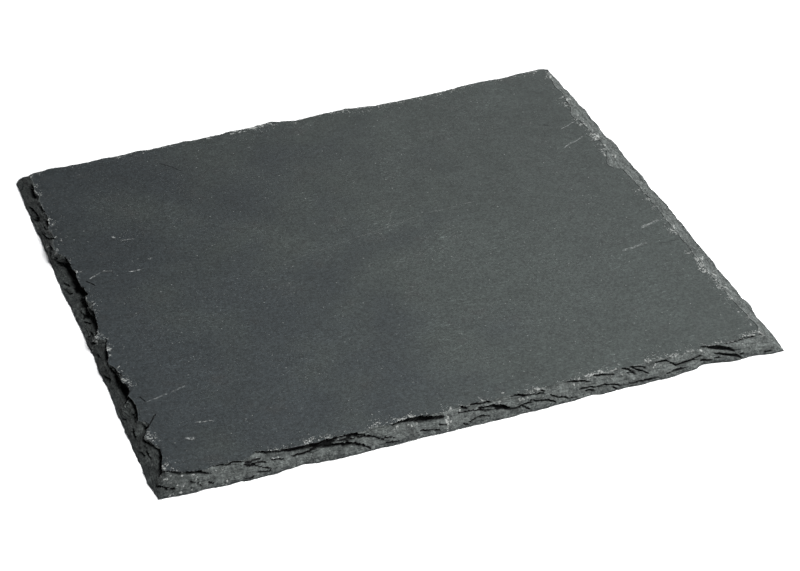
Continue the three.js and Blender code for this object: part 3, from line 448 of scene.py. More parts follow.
# Fine marks on the top face, as start, end, half width and paleness, with a negative one for a crack painted
# dark as shade
MARKS = (
    ((-140.0, 27.5), (-136.0, 20.5), 0.50, -1.0),
    ((-138.2, 27.5), (-131.3, 31.5), 0.35, 1.0),
    ((-131.3, 31.5), (-125.6, 30.5), 0.30, 0.9),
    ((-119.0, 26.5), (-112.0, 27.0), 0.35, 0.9),
    ((-107.5, 33.5), (-104.5, 34.0), 0.60, 1.0),
    ((-119.5, 58.0), (-116.5, 57.5), 0.60, 0.9),
    ((-116.0, 54.5), (-108.5, 53.0), 0.30, 0.8),
    ((-47.4, 7.0), (-8.0, 14.5), 0.20, 0.16),
    ((-8.0, 14.5), (31.0, 22.0), 0.20, 0.22),
    ((31.0, 22.0), (59.5, 23.8), 0.22, 0.20),
    ((10.0, 17.0), (19.0, 33.0), 0.20, 0.18),
    ((-129.3, -105.2), (-124.4, -107.0), 0.55, 0.9),
    ((-122.3, -96.2), (-112.8, -98.3), 0.40, 0.5),
    ((-79.0, 115.5), (-69.5, 103.5), 0.35, -0.7),
    ((118.0, 78.8), (123.0, 76.5), 0.35, -0.9),
    ((119.8, 53.6), (134.7, 60.4), 0.35, 0.6),
    ((125.9, 70.2), (136.8, 75.6), 0.30, 0.5),
    ((126.0, -27.9), (138.1, -24.1), 0.80, 0.5),
    ((109.0, -42.7), (124.0, -40.2), 0.70, 0.45),
    ((127.5, -43.0), (140.6, -43.9), 0.40, -0.4),
    ((-136.0, -83.3), (-142.9, -93.5), 0.45, -1.0),
    ((-140.2, -68.6), (-137.7, -74.6), 0.40, -0.9),
    ((-138.1, -74.4), (-126.7, -71.5), 0.35, 0.35),
    ((-126.7, -71.5), (-117.1, -68.9), 0.35, 0.25),
)

# The camera, worked out from the four edges of the slab in a frame 800 pixels wide
PHOTO_WIDTH = 800
SENSOR_WIDTH = 36.0
FOCAL_PIXELS = 2397.4
CAMERA_TARGET = (1.68, -23.13, 0.0)
CAMERA_DISTANCE = 1149.7
CAMERA_ELEVATION = math.radians(35.380)
CAMERA_AZIMUTH = math.radians(19.972)
CAMERA_ROLL = math.radians(-0.698)

# Floor, sky and soft boxes. The floor's size is in metres, and so are a box's place, aim and size.
FLOOR_SIZE = 6.0
FLOOR_GAP = 0.1
FLOOR_ROUGHNESS = 0.9
FLOOR_COLOUR = (0.90, 0.90, 0.90)
SKY_COLOUR = (0.93, 0.96, 1.0)
SKY_STRENGTH = 0.10
SOFT_BOXES = (
    ("key_from_the_right", (1.3, -0.3, 1.9), (0, 0, 0), 1.2, 86, (1, 1, 1)),
    ("low_from_the_front", (1.3, -1.9, 1.2), (0, 0, 0), 1.1, 44, (1, 1, 1)),
    ("sheen_from_behind", (1.2, 1.8, 1.25), (0.1, 0, 0), 1.5, 8, (0.93, 1.0, 0.98)),
)


def deselect_all():
    if bpy.context.mode != "OBJECT":
        bpy.ops.object.mode_set(mode="OBJECT")
    bpy.ops.object.select_all(action="DESELECT")


def smoothstep(low, high, value):
    t = np.clip((value - low) / (high - low), 0, 1)
    return t * t * (3 - 2 * t)


# Noise along the walk and over the slope

def ripple(wavelength):
    """Smooth noise in [-1, 1] that closes on itself after one lap of the rim"""
    knots = round(LAP / wavelength)
    values = rng.uniform(-1, 1, knots)
    at = np.arange(STATIONS) * knots / STATIONS
    low = np.floor(at).astype(int) % knots
    share = smoothstep(0, 1, at - np.floor(at))
    return values[low] * (1 - share) + values[(low + 1) % knots] * share


def mottle(x, y, size, seed):
    """Smooth noise in [-1, 1] over a plane, with one knot in each square of the stated size"""
    table = np.random.default_rng(seed).uniform(-1, 1, (MOTTLE_KNOTS, MOTTLE_KNOTS))
    column, row = np.floor(x / size).astype(int), np.floor(y / size).astype(int)
    across, up = smoothstep(0, 1, x / size - column), smoothstep(0, 1, y / size - row)

    def along_row(row):
        left, right = (table[at % MOTTLE_KNOTS, row % MOTTLE_KNOTS] for at in (column, column + 1))
        return left * (1 - across) + right * across

    return along_row(row) * (1 - up) + along_row(row + 1) * up


# The camera

def camera_axes():
    """Right, up and back of the camera"""
    a, e, r = CAMERA_AZIMUTH, CAMERA_ELEVATION, CAMERA_ROLL
    back = Vector((-math.sin(a) * math.cos(e), -math.cos(a) * math.cos(e), math.sin(e)))
    level_right = Vector((math.cos(a), -math.sin(a), 0))
    right = level_right * math.cos(r) + back.cross(level_right) * math.sin(r)
    return right, back.cross(right), back


def camera_place():
    return Vector(CAMERA_TARGET) + camera_axes()[2] * CAMERA_DISTANCE


def photo_camera():
    """Stand where the photographer stood"""
    data = bpy.data.cameras.new("photo_camera")
    data.sensor_width = SENSOR_WIDTH
    data.lens = FOCAL_PIXELS * SENSOR_WIDTH / PHOTO_WIDTH
    camera = bpy.data.objects.new("photo_camera", data)
    bpy.context.collection.objects.link(camera)
    camera.location = camera_place() * MM
    camera.rotation_mode = "QUATERNION"
    camera.rotation_quaternion = Matrix(camera_axes()).transposed().to_quaternion()
    bpy.context.scene.camera = camera


# The walk round the rim

def walk_points():
    """Start points on the walk's rectangle, one for each station"""
    corners = [(-WALK_X, -WALK_Y), (WALK_X, -WALK_Y), (WALK_X, WALK_Y), (-WALK_X, WALK_Y)]
    corners.append(corners[0])
    corner_walks = np.cumsum([0, 2 * WALK_X, 2 * WALK_Y, 2 * WALK_X, 2 * WALK_Y])
    along = np.arange(STATIONS) * LAP / STATIONS
    x = np.interp(along, corner_walks, [c[0] for c in corners])
    y = np.interp(along, corner_walks, [c[1] for c in corners])
    return np.stack([x, y], axis=1)


def placed(walk, setbacks, heights):
    """Points at setbacks from the walk, one row of levels for each station, inside the solid's box"""
    x = walk[:, :1] * (1 - setbacks / WALK_X)
    y = walk[:, 1:] * (1 - setbacks / WALK_Y)
    (low_x, low_y, _), (high_x, high_y, _) = (np.array(corner) / MM for corner in cad_box)
    return np.stack([np.clip(x, low_x, high_x), np.clip(y, low_y, high_y), heights], axis=2)


def row_heights():
    """Heights of the rows, which rise and dip along the rim as the laminae do"""
    share = np.arange(LAMINA_ROWS + 1) / LAMINA_ROWS
    dip = sum(height * ripple(wavelength) for wavelength, height in LAMINA_DIPS)
    return THICKNESS * (1 - share) + dip[:, None] * np.sin(math.pi * share)


def cad_setbacks(walk, heights):
    """The solid's setback at every station and row, from rays cast inward at each height"""
    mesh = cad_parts[NODE].data
    vertices = [v.co.copy() for v in mesh.vertices]
    tree = BVHTree.FromPolygons(vertices, [tuple(p.vertices) for p in mesh.polygons])
    inside = np.clip(heights, FACE_MARGIN, THICKNESS - FACE_MARGIN)
    rows = np.full(heights.shape, np.nan)
    for i, (x, y) in enumerate(walk):
        inward = Vector((-x / WALK_X, -y / WALK_Y, 0))
        for j, height in enumerate(inside[i]):
            hit = tree.ray_cast(Vector((x, y, height)) * MM, inward)
            if hit[0] is not None:
                rows[i, j] = hit[3] / (inward.length * MM)
    for column in rows.T:
        missed = np.isnan(column)
        column[missed] = np.interp(np.flatnonzero(missed), np.flatnonzero(~missed), column[~missed])
    return rows


# Breaking the rim into laminae

def lamina_groups():
    """Rows that belong to one lamina each"""
    groups, row = [], 0
    while row <= LAMINA_ROWS:
        thickness = int(rng.integers(*LAMINA_THICKNESS))
        groups.append(list(range(row, min(row + thickness, LAMINA_ROWS + 1))))
        row += thickness
    return groups


def broken_setbacks(rows, heights):
    """Step the slopes into laminae, break each lamina's edge and take flakes out of the face"""
    along = np.repeat(np.arange(STATIONS)[:, None], LAMINA_ROWS + 1, axis=1) * LAP / STATIONS
    middle = np.sin(math.pi * np.clip(1 - heights / THICKNESS, 0, 1))
    for number, (length, height, depth) in enumerate(FLAKES):
        shape = mottle(along / length, heights / height, 1.0, FLAKE_SEED + number)
        rows = rows + depth * (np.abs(shape) - USUAL_HOLLOW) * middle
    swings = (swing * ripple(wavelength) for wavelength, swing in UPRIGHT_SWINGS)
    upright = np.clip(sum(swings, UPRIGHT_SHARE), 0, UPRIGHT_MOST)
    for group in lamina_groups():
        face = rows[:, group].mean(axis=1)
        breaks = sum(depth * ripple(wavelength) for wavelength, depth in LAMINA_BREAKS)
        for row in group:
            rows[:, row] += (face - rows[:, row]) * upright + breaks
    wavelength, depth = ROW_ROUGHNESS
    for row in range(LAMINA_ROWS + 1):
        rows[:, row] += depth * ripple(wavelength)
    return rows


# Marks that were read from the camera's side

def seen_on_slope(points, side):
    """Where the sight line through each point meets a side's plain slope: station and setback"""
    start, along, inward, width = SIDES[side]
    if side == "back":
        # This slope faces away from the camera, so places along it are plan places
        offset = points[..., :2] - MEASURED_MIDDLE - start
        return offset @ along, offset @ inward
    middle = np.array([*MEASURED_MIDDLE, 0])
    along, inward = np.array([*along, 0]), np.array([*inward, 0])
    eye = np.array(camera_place()) - middle
    place = points - middle
    sight = place - eye
    offset = place - np.array([*start, 0])
    rise = THICKNESS / width
    reach = (rise * offset @ inward - offset[..., 2]) / (sight[..., 2] - rise * sight @ inward)
    on_slope = offset + reach[..., None] * sight
    on_top = offset + ((THICKNESS - offset[..., 2]) / sight[..., 2])[..., None] * sight
    seen = np.where((on_slope @ inward > width)[..., None], on_top, on_slope)
    return seen @ along, seen @ inward


def ragged(station, setback, seed):
    """Move places about a little, so that what is drawn there gets ragged edges"""
    for number, (size, reach) in enumerate(RAGGEDNESS):
        station = station + reach * mottle(station, setback, size, seed + number)
        down = mottle(station, setback, size, seed + DOWN_SEED_STEP + number)
        setback = setback + reach * RAGGED_DOWN * down
    return station, setback


def stroke(station, setback, start, end):
    """Share along a stroke and distance from it. Its ends start with a station and a setback."""
    along, up = end[0] - start[0], end[1] - start[1]
    share = ((station - start[0]) * along + (setback - start[1]) * up) / (along * along + up * up)
    share = np.clip(share, 0, 1)
    return share, np.hypot(station - start[0] - share * along, setback - start[1] - share * up)


def slit_depths(points):
    """How deep the slits are at each point, and how much painted shade darkens them"""
    depth, dark = np.zeros(points.shape[:-1]), np.zeros(points.shape[:-1])
    for side, slits in SLITS.items():
        station, setback = ragged(*seen_on_slope(points, side), SLIT_SEED)
        on_slope = (setback > SLIT_SETBACKS[0]) & (setback < SLIT_SETBACKS[1])
        for slit in slits:
            near = (station > slit[0][0] - SLIT_MARGIN) & (station < slit[-1][0] + SLIT_MARGIN) & on_slope
            for start, end in zip(slit, slit[1:]):
                share, distance = stroke(station[near], setback[near], start, end)
                width = start[2] + (end[2] - start[2]) * share
                inside = smoothstep(*SLIT_EDGE, distance / np.maximum(width, LEAST_SLIT))
                depth[near] = np.maximum(depth[near], inside * (SLIT_DEPTH[0] + SLIT_DEPTH[1] * width))
                dark[near] = np.maximum(dark[near], inside)
    return depth, dark


def bruise_strengths(points):
    """How pale the bruises and scratches have left each point"""
    pale = np.zeros(points.shape[:-1])
    for side in SIDES:
        station, setback = ragged(*seen_on_slope(points, side), BRUISE_SEED)
        for at, inset, radius, strength in BRUISES[side]:
            distance = np.hypot(station - at, setback - inset)
            pale = np.maximum(pale, strength * smoothstep(*BRUISE_EDGE, distance / radius))
        for start, end, half_width, strength in SCRATCHES[side]:
            _, distance = stroke(station, setback, start, end)
            pale = np.maximum(pale, strength * smoothstep(*SCRATCH_EDGE, distance / half_width))
    return pale


def crushed_density(points, inset):
    """How thickly crushed grains lie. The inset is how far inward of the top edge a point lies, or how
    far below it, as a negative number.
    """
    away = np.abs(inset)
    below = CRUSHED_BELOW * np.exp(-away / CRUSHED_DOWN)
    reach = np.where(inset > 0, np.exp(-away / CRUSHED_INWARD), below)
    density = np.zeros(points.shape[:-1])
    for side, rows in CRUSHED.items():
        station, setback = seen_on_slope(points, side)
        here = np.interp(station, [r[0] for r in rows], [r[1] for r in rows])
        density = np.maximum(density, here * smoothstep(*CRUSHED_END, setback))
    return density * reach


def streak_places(points):
    """Coordinates that run along a blow's streaks, one across them and one down the slope"""
    across, down = np.zeros(points.shape[:-1]), np.full(points.shape[:-1], np.inf)
    for side, lean in STREAK_LEAN.items():
        station, setback = seen_on_slope(points, side)
        here = setback < down
        across = np.where(here, station - lean * setback, across)
        down = np.where(here, setback, down)
    return across, down


# The rim, with the rings that it has on both faces

def read_points(mesh):
    flat = np.empty(3 * len(mesh.vertices))
    mesh.vertices.foreach_get("co", flat)
    return flat.reshape(-1, 3)


def write_points(mesh, points):
    mesh.vertices.foreach_set("co", points.ravel())
    mesh.update()


def add_attribute(mesh, name, values):
    values = np.ascontiguousarray(values, np.float32)
    mesh.attributes.new(name, "FLOAT", "POINT").data.foreach_set("value", values)


def plain_drum(rows):
    """An open drum with one face for each station and row"""
    deselect_all()
    bpy.ops.mesh.primitive_cylinder_add(vertices=STATIONS, radius=1, depth=1, end_fill_type="NOTHING")
    drum = bpy.context.active_object
    mesh = drum.data
    heights = read_points(mesh)[:, 2]
    upright = [heights[a] != heights[b] for a, b in (e.vertices for e in mesh.edges)]
    bpy.ops.object.mode_set(mode="EDIT")
    bpy.ops.mesh.select_mode(type="EDGE")
    bpy.ops.mesh.select_all(action="DESELECT")
    bpy.ops.object.mode_set(mode="OBJECT")
    mesh.edges.foreach_set("select", upright)
    bpy.ops.object.mode_set(mode="EDIT")
    bpy.ops.mesh.subdivide(number_cuts=rows - 1)
    bpy.ops.object.mode_set(mode="OBJECT")
    return drum


def top_rings(edge):
    """Setbacks and heights of the rings on the top face, whose rim is crumbled"""
    lip_depth, lip_fade, lip_wavelength = LIP_WEAR
    ripple_depth, ripple_fade, ripple_wavelength = RIPPLE_WEAR
    calm = edge.copy()
    crumble = 0.5 + 0.5 * ripple(lip_wavelength)
    setbacks, heights = [], []
    for inset in TOP_RINGS:
        calm = (np.roll(calm, 1) + 2 * calm + np.roll(calm, -1)) / 4
        share = inset / (TOP_RINGS[-1] * 2)
        setbacks.append(edge * (1 - share) + calm * share + inset)
        lip = lip_depth * math.exp(-inset / lip_fade) * crumble
        behind = ripple_depth * math.exp(-inset / ripple_fade) * (1 + ripple(ripple_wavelength))
        heights.append(THICKNESS - (lip + behind))
    return np.stack(setbacks[::-1], axis=1), np.stack(heights[::-1], axis=1), crumble


def rim_marks(points, inset, dark, on_top):
    """What the stone is like at each point of the rim, and where painted shade darkens the slits, as
    attributes that its material reads
    """
    across, down = streak_places(points)
    return {
        "hollow_painted_shade": dark,
        "bruised": bruise_strengths(points),
        "crushed": crushed_density(points, inset),
        "broken": np.broadcast_to(~on_top, dark.shape).astype(float),
        "streak_across": across,
        "streak_down": down,
    }


def with_underside(setbacks, heights, marks):
    """Add rings of whole stone on the underside, which carry on only the streaks' coordinates"""
    setbacks = np.hstack([setbacks, setbacks[:, -1:] + np.array(UNDER_RINGS)])
    heights = np.hstack([heights, np.zeros((STATIONS, len(UNDER_RINGS)))])
    for name, values in marks.items():
        carried = values[:, -1:] * name.startswith("streak")
        marks[name] = np.hstack([values, np.repeat(carried, len(UNDER_RINGS), axis=1)])
    return setbacks, heights, marks


def carved_drum(points, marks):
    """A drum moved onto the rim's points, which are in rows of levels for each station"""
    levels = points.shape[1]
    drum = plain_drum(levels - 1)
    plain = read_points(drum.data)
    turn = np.arctan2(plain[:, 1], plain[:, 0]) / (2 * math.pi)
    station = np.rint(turn * STATIONS).astype(int) % STATIONS
    level = np.rint((0.5 - plain[:, 2]) * (levels - 1)).astype(int)
    write_points(drum.data, points[station, level] * MM)
    for name, values in marks.items():
        add_attribute(drum.data, name, values[station, level])
    return drum


def rim_wall():
    """The rim with the outer parts of the top face and the underside, carved, broken and marked"""
    walk = walk_points()
    fall = row_heights()
    rows = broken_setbacks(cad_setbacks(walk, fall), fall)
    ring_setbacks, ring_heights, crumble = top_rings(rows[:, 0])
    fall[:, 0] -= LIP_SINK * crumble
    setbacks = np.hstack([ring_setbacks, rows])
    heights = np.hstack([ring_heights, fall])
    points = placed(walk, setbacks, heights)
    depth, dark = slit_depths(points)
    on_top = np.arange(setbacks.shape[1]) < len(TOP_RINGS)
    inset = setbacks - rows[:, :1]
    below_edge = np.clip(fall - THICKNESS, None, 0)
    inset[:, ~on_top] = np.minimum(inset[:, ~on_top], below_edge)
    marks = rim_marks(points, inset, dark, on_top)
    setbacks = setbacks + depth * ~on_top
    heights = heights - dark * SLIT_DROP_ON_TOP * on_top
    setbacks, heights, marks = with_underside(setbacks, heights, marks)
    return carved_drum(placed(walk, setbacks, heights), marks)


def middle_grid():
    """The calm middle of the top face, with the gentle swell of a cleft surface"""
    deselect_all()
    half_x = WALK_X - MIDDLE_SETBACK
    half_y = WALK_Y - MIDDLE_SETBACK
    cells = (round(2 * half_x / MIDDLE_SPACING), round(2 * half_y / MIDDLE_SPACING))
    bpy.ops.mesh.primitive_grid_add(x_subdivisions=cells[0], y_subdivisions=cells[1], size=1)
    grid = bpy.context.active_object
    points = read_points(grid.data)
    x, y = points[:, 0] * 2 * half_x, points[:, 1] * 2 * half_y
    border = np.minimum(half_x - np.abs(x), half_y - np.abs(y))
    bent = np.sin(x / SWELL_LENGTHS_X[0] + SWELL_BEND * np.sin(y / SWELL_LENGTHS_Y[0]))
    slanted = np.sin(y / SWELL_LENGTHS_Y[1] + x / SWELL_LENGTHS_X[1])
    swell = 0.5 + 0.25 * bent + 0.25 * slanted
    heights = THICKNESS - SWELL_DEPTH * swell * smoothstep(0, SWELL_BORDER, border)
    write_points(grid.data, np.column_stack([x, y, heights]) * MM)
    return grid


def join_and_close(wall, grid):
    """Join the middle to the rim, then fill the ring between them and the underside"""
    deselect_all()
    grid.select_set(True)
    wall.select_set(True)
    bpy.context.view_layer.objects.active = wall
    bpy.ops.object.join()
    bpy.ops.object.mode_set(mode="EDIT")
    bpy.ops.mesh.select_mode(type="EDGE")
    for top in (True, False):
        bpy.ops.mesh.select_all(action="DESELECT")
        bpy.ops.mesh.select_non_manifold(extend=False, use_wire=False, use_multi_face=False,
                                         use_non_contiguous=False, use_verts=False)
        bpy.ops.object.mode_set(mode="OBJECT")
        mesh = wall.data
        heights = read_points(mesh)[:, 2]
        chosen = [e.select and (heights[e.vertices[0]] > THICKNESS * MM / 2) == top for e in mesh.edges]
        mesh.vertices.foreach_set("select", np.zeros(len(mesh.vertices), bool))
        mesh.edges.foreach_set("select", chosen)
        bpy.ops.object.mode_set(mode="EDIT")
        bpy.ops.mesh.fill(use_beauty=True)
    bpy.ops.mesh.select_all(action="SELECT")
    bpy.ops.mesh.normals_make_consistent(inside=False)
    bpy.ops.object.mode_set(mode="OBJECT")
    return wall


def slate_slab():
    slab = join_and_close(rim_wall(), middle_grid())
    deselect_all()
    slab.select_set(True)
    bpy.context.view_layer.objects.active = slab
    bpy.ops.object.shade_smooth_by_angle(angle=SMOOTH_ANGLE)
    slab.name = slab.data.name = "slate_slab"
    return slab


# Materials

# Colours of the stone, as linear red, green and blue with an alpha of 1
# The blue grey is the darker end and the green grey the paler end of the split face's drift, so they carry
# painted shade and light as well as tint
BLUE_GREY_PAINTED_SHADE = (0.0153, 0.0188, 0.0207, 1)
GREEN_GREY_PAINTED_LIGHT = (0.0222, 0.0268, 0.0254, 1)
WARM_GREY = (0.0235, 0.0246, 0.0246, 1)
RIM_GREY = (0.0715, 0.0785, 0.0755, 1)
PALE_GRAIN = (0.16, 0.17, 0.165, 1)
CRUSHED_GRAIN = (0.31, 0.32, 0.31, 1)
MARK_GREY = (0.30, 0.31, 0.305, 1)
DARK_GRAIN = (0.012, 0.014, 0.015, 1)
# Painted shade inside the slits and the cracks
SLIT_PAINTED_SHADE = (0.0030, 0.0030, 0.0032, 1)

# Painted light on the split face: its shade at the front, paler, and at its back, darker
FACE_PAINTED_LIGHT = (1.32, 0.95)
# Painted shade on the rim: its shade at the left end, darker, and beyond it, and the share of the length
# over which it changes
RIM_PAINTED_SHADE = (0.68, 1.05)
RIM_PAINTED_SHADE_REACH = 0.08

# Rows of grain: size, detail, roughness, stretch and turn of a noise, the two values between which it
# shades, and the shades at those. The first rows are for the split face, the next for the rim along the
# streaks of the blows, and the last for the rim at large.
FACE_GRAIN = (
    (30, 3, 0.5, (1, 1, 1), 0, (0.3, 0.7), (0.94, 1.06)),
    (1.1, 4, 0.75, (1, 1, 1), 0, (0.3, 0.7), (0.50, 1.52)),
    (2.4, 3, 0.6, (0.25, 1.5, 1), 20, (0.3, 0.7), (0.93, 1.08)),
)
BLOW_GRAIN = (
    (1.3, 4, 0.6, (1, 0.3, 1), 0, (0.38, 0.62), (0.88, 1.14)),
    (2.4, 5, 0.7, (0.45, 1, 1), 0, (0.38, 0.62), (0.62, 1.30)),
)
RIM_GRAIN = ((0.9, 4, 0.75, (1, 1, 1), 0, (0.36, 0.64), (0.62, 1.36)),)

# Hairlines of the split face: their turns in degrees, how long they are drawn out, and their shades
HAIR_TURNS = (48, -55, 97)
HAIR_STRETCH = (0.10, 1, 1)
HAIR_SHADES = (1.0, 1.8)

# Heights in metres between which pits grow thicker toward the foot, and the shades of the thin layers
PITTED_HEIGHTS = (2.4 * MM, 0.3 * MM)
LAYER_SHADES = (1.0, 1.5)

# Where a grain starts and is whole, as shares of its radius
GRAIN_EDGE = (1.5, 0.5)

# A mark on the top face: where it starts and is whole as shares of its half width, how far and over which
# length it bends, how long its ends taper, and how far off the top face it ends and is whole
MARK_EDGE = (1.5, 0.4)
MARK_BEND = 1.2
MARK_BEND_LENGTH = 4.0
MARK_TAPER = 1.5
MARK_LEVEL = (0.6, 0.4)

# How fully the broken rim and the crushed grains cover what lies under them, and how fully the painted shade
# of the slits and cracks does
RIM_COVER = 0.9
PALE_COVER = 0.80
PAINTED_SHADE_COVER = 0.97

# Sheen
FACE_ROUGHNESS = (0.40, 0.50)
RIM_ROUGHNESS = 0.62
CRUSHED_ROUGHNESS = 0.85
SLIT_ROUGHNESS = 0.95
SPECULAR_LEVEL = 0.4
RIM_DULLNESS = 0.75

# Depths of the relief
FACE_RELIEF = 0.12
GRAIN_RELIEF = 0.09
RIM_RELIEF = 0.5
CRUSHED_RELIEF = 0.10


class Stone:
    """A short way to write a node tree. A position is an Object coordinate in metres."""

    def __init__(self, name):
        self.material = bpy.data.materials.new(name)
        self.material.use_nodes = True
        self.tree = self.material.node_tree
        self.shader = self.tree.nodes["Principled BSDF"]
        self.position = self.tree.nodes.new("ShaderNodeTexCoord").outputs["Object"]

    def node(self, kind, **settings):
        made = self.tree.nodes.new(kind)
        for key, value in settings.items():
            setattr(made, key, value)
        return made

    def feed(self, socket, value):
        if isinstance(value, bpy.types.NodeSocket):
            self.tree.links.new(value, socket)
        else:
            socket.default_value = value

    def math(self, operation, *values):
        made = self.node("ShaderNodeMath", operation=operation)
        for socket, value in zip(made.inputs, values):
            self.feed(socket, value)
        return made.outputs[0]

    def stretched(self, scale, turn=0.0, source=None):
        """Object coordinates in millimetres, turned about Z and then scaled"""
        turned = self.node("ShaderNodeMapping")
        self.feed(turned.inputs["Vector"], source or self.position)
        turned.inputs["Rotation"].default_value = (0, 0, math.radians(turn))
        unit = 1 if source else MM
        turned.inputs["Scale"].default_value = tuple(s / unit for s in scale)
        return turned.outputs[0]

    def noise(self, size, detail=3.0, roughness=0.55, stretch=(1, 1, 1), turn=0.0, source=None):
        """Noise whose features are about the stated size in millimetres"""
        made = self.node("ShaderNodeTexNoise")
        self.feed(made.inputs["Vector"], self.stretched([s / size for s in stretch], turn, source))
        made.inputs["Scale"].default_value = 1
        made.inputs["Detail"].default_value = detail
        made.inputs["Roughness"].default_value = roughness
        return made.outputs["Fac"]

    def ramp(self, value, low, high, start=0.0, end=1.0):
        made = self.node("ShaderNodeMapRange", interpolation_type="SMOOTHSTEP")
        for name, number in (("From Min", low), ("From Max", high), ("To Min", start), ("To Max", end)):
            made.inputs[name].default_value = number
        self.feed(made.inputs["Value"], value)
        return made.outputs[0]

    def mix(self, share, first, second, blend="MIX"):
        """Two colours mixed, by the sockets that the node keeps for colours: 6 and 7 in, 2 out"""
        made = self.node("ShaderNodeMix", data_type="RGBA", blend_type=blend)
        self.feed(made.inputs[0], share)
        self.feed(made.inputs[6], first)
        self.feed(made.inputs[7], second)
        return made.outputs[2]

    def shaded(self, colour, value, low, high, darkest, palest):
        """A colour made darker or paler by a value"""
        level = self.ramp(value, low, high, darkest, palest)
        grey = self.node("ShaderNodeCombineColor")
        for socket in grey.inputs:
            self.feed(socket, level)
        return self.mix(1.0, colour, grey.outputs[0], "MULTIPLY")

    def attribute(self, name):
        return self.node("ShaderNodeAttribute", attribute_name=name).outputs["Fac"]

    def grains(self, size, share, radius):
        """Scattered grains of a radius, one in each cell of the stated size, of which only a share show"""
        made = self.node("ShaderNodeTexVoronoi")
        self.feed(made.inputs["Vector"], self.stretched([1 / size] * 3))
        made.inputs["Scale"].default_value = 1
        outer, inner = (edge * radius / size for edge in GRAIN_EDGE)
        near = self.ramp(made.outputs["Distance"], outer, inner)
        chosen = self.node("ShaderNodeSeparateColor")
        self.feed(chosen.inputs[0], made.outputs["Color"])
        return self.math("MULTIPLY", near, self.ramp(chosen.outputs[0], 1 - share, 1 - share * 0.6))

    def bump(self, height, distance, normal=None):
        made = self.node("ShaderNodeBump")
        made.inputs["Distance"].default_value = distance * MM
        self.feed(made.inputs["Height"], height)
        if normal is not None:
            self.feed(made.inputs["Normal"], normal)
        return made.outputs[0]


def mark_mask(stone, start, end, half_width):
    """A thin wandering line on the top face between two plan points"""
    (ax, ay), (bx, by) = start, end
    length = math.hypot(bx - ax, by - ay)
    turn = math.degrees(math.atan2(by - ay, bx - ax))
    centred = stone.node("ShaderNodeMapping", vector_type="TEXTURE")
    stone.feed(centred.inputs["Vector"], stone.position)
    centred.inputs["Location"].default_value = ((ax + bx) / 2 * MM, (ay + by) / 2 * MM, THICKNESS * MM)
    centred.inputs["Rotation"].default_value = (0, 0, math.radians(turn))
    centred.inputs["Scale"].default_value = (MM, MM, MM)
    parts = stone.node("ShaderNodeSeparateXYZ")
    stone.feed(parts.inputs[0], centred.outputs[0])
    bend = stone.noise(MARK_BEND_LENGTH, detail=2)
    bend = stone.math("MULTIPLY_ADD", bend, 2 * MARK_BEND, -MARK_BEND)
    across = stone.math("ABSOLUTE", stone.math("ADD", parts.outputs[1], bend))
    outer, inner = (half_width * edge for edge in MARK_EDGE)
    line = stone.ramp(across, outer, inner)
    ends = stone.ramp(stone.math("ABSOLUTE", parts.outputs[0]), length / 2, length / 2 - MARK_TAPER)
    level = stone.ramp(stone.math("ABSOLUTE", parts.outputs[2]), *MARK_LEVEL)
    return stone.math("MULTIPLY", stone.math("MULTIPLY", line, ends), level)


def grained(stone, colour, grain, source=None):
    """A colour shaded by each row of grain in turn"""
    for size, detail, roughness, stretch, turn, limits, shades in grain:
        noise = stone.noise(size, detail, roughness, stretch, turn, source)
        colour = stone.shaded(colour, noise, *limits, *shades)
    return colour


def split_face(stone, sideways, backward):
    """The split face: tints that drift across the slab and darken toward the left as painted shade, painted
    light toward its front, mottling, grain, specks and hairlines
    """
    # The face drifts from blue grey at the left to green grey at the right, darker at the left as painted
    # shade
    tint_and_painted_shade = stone.math("MULTIPLY_ADD", stone.noise(45, detail=3), 1.6, -0.8)
    tint_and_painted_shade = stone.math("ADD", sideways, tint_and_painted_shade)
    face = stone.mix(stone.ramp(tint_and_painted_shade, low=0.05, high=0.70), BLUE_GREY_PAINTED_SHADE, GREEN_GREY_PAINTED_LIGHT)
    # Painted light: the face is made paler toward the front and darker toward the back
    face = stone.shaded(face, backward, 0, 1, *FACE_PAINTED_LIGHT)
    patches = stone.ramp(stone.noise(12, detail=4, roughness=0.6), low=0.55, high=0.75, start=0, end=0.5)
    face = grained(stone, stone.mix(patches, face, WARM_GREY), FACE_GRAIN)

    speckled = stone.ramp(stone.noise(26, detail=3), low=0.38, high=0.62, start=-0.03, end=0.01)
    specks = stone.math("ADD", stone.noise(0.6, detail=2, roughness=0.6), speckled)
    specks = stone.ramp(specks, low=0.655, high=0.72)
    face = stone.mix(stone.math("MULTIPLY", specks, 0.8), face, PALE_GRAIN)
    pale_grains = stone.grains(size=3.1, share=0.30, radius=0.28)
    face = stone.mix(stone.math("MULTIPLY", pale_grains, 0.9), face, PALE_GRAIN)

    thinning = stone.noise(20, detail=3, roughness=0.6)
    for turn in HAIR_TURNS:
        hairs = stone.noise(0.5, detail=2, roughness=0.5, stretch=HAIR_STRETCH, turn=turn)
        hairs = stone.math("MULTIPLY_ADD", thinning, 0.35, hairs)
        face = stone.shaded(face, hairs, 0.83, 0.92, *HAIR_SHADES)
    dark_grains = stone.grains(size=2.3, share=0.15, radius=0.5)
    return stone.mix(stone.math("MULTIPLY", dark_grains, 0.6), face, DARK_GRAIN)


def marked_face(stone, face):
    """The face with its pale marks, and the painted shade of the cracks, which is as black as the slits'"""
    gaps = stone.noise(0.9, detail=3, roughness=0.7)
    gaps = stone.ramp(gaps, low=0.46, high=0.58, start=0.10, end=1.0)
    crack_shade = 0.0
    for start, end, half_width, paleness in MARKS:
        line = stone.math("MULTIPLY", mark_mask(stone, start, end, half_width), abs(paleness))
        # A negative paleness marks a crack, whose darkness is painted shade
        if paleness < 0:
            crack_shade = stone.math("MAXIMUM", crack_shade, line)
        else:
            face = stone.mix(stone.math("MULTIPLY", line, gaps), face, MARK_GREY)
    return face, crack_shade


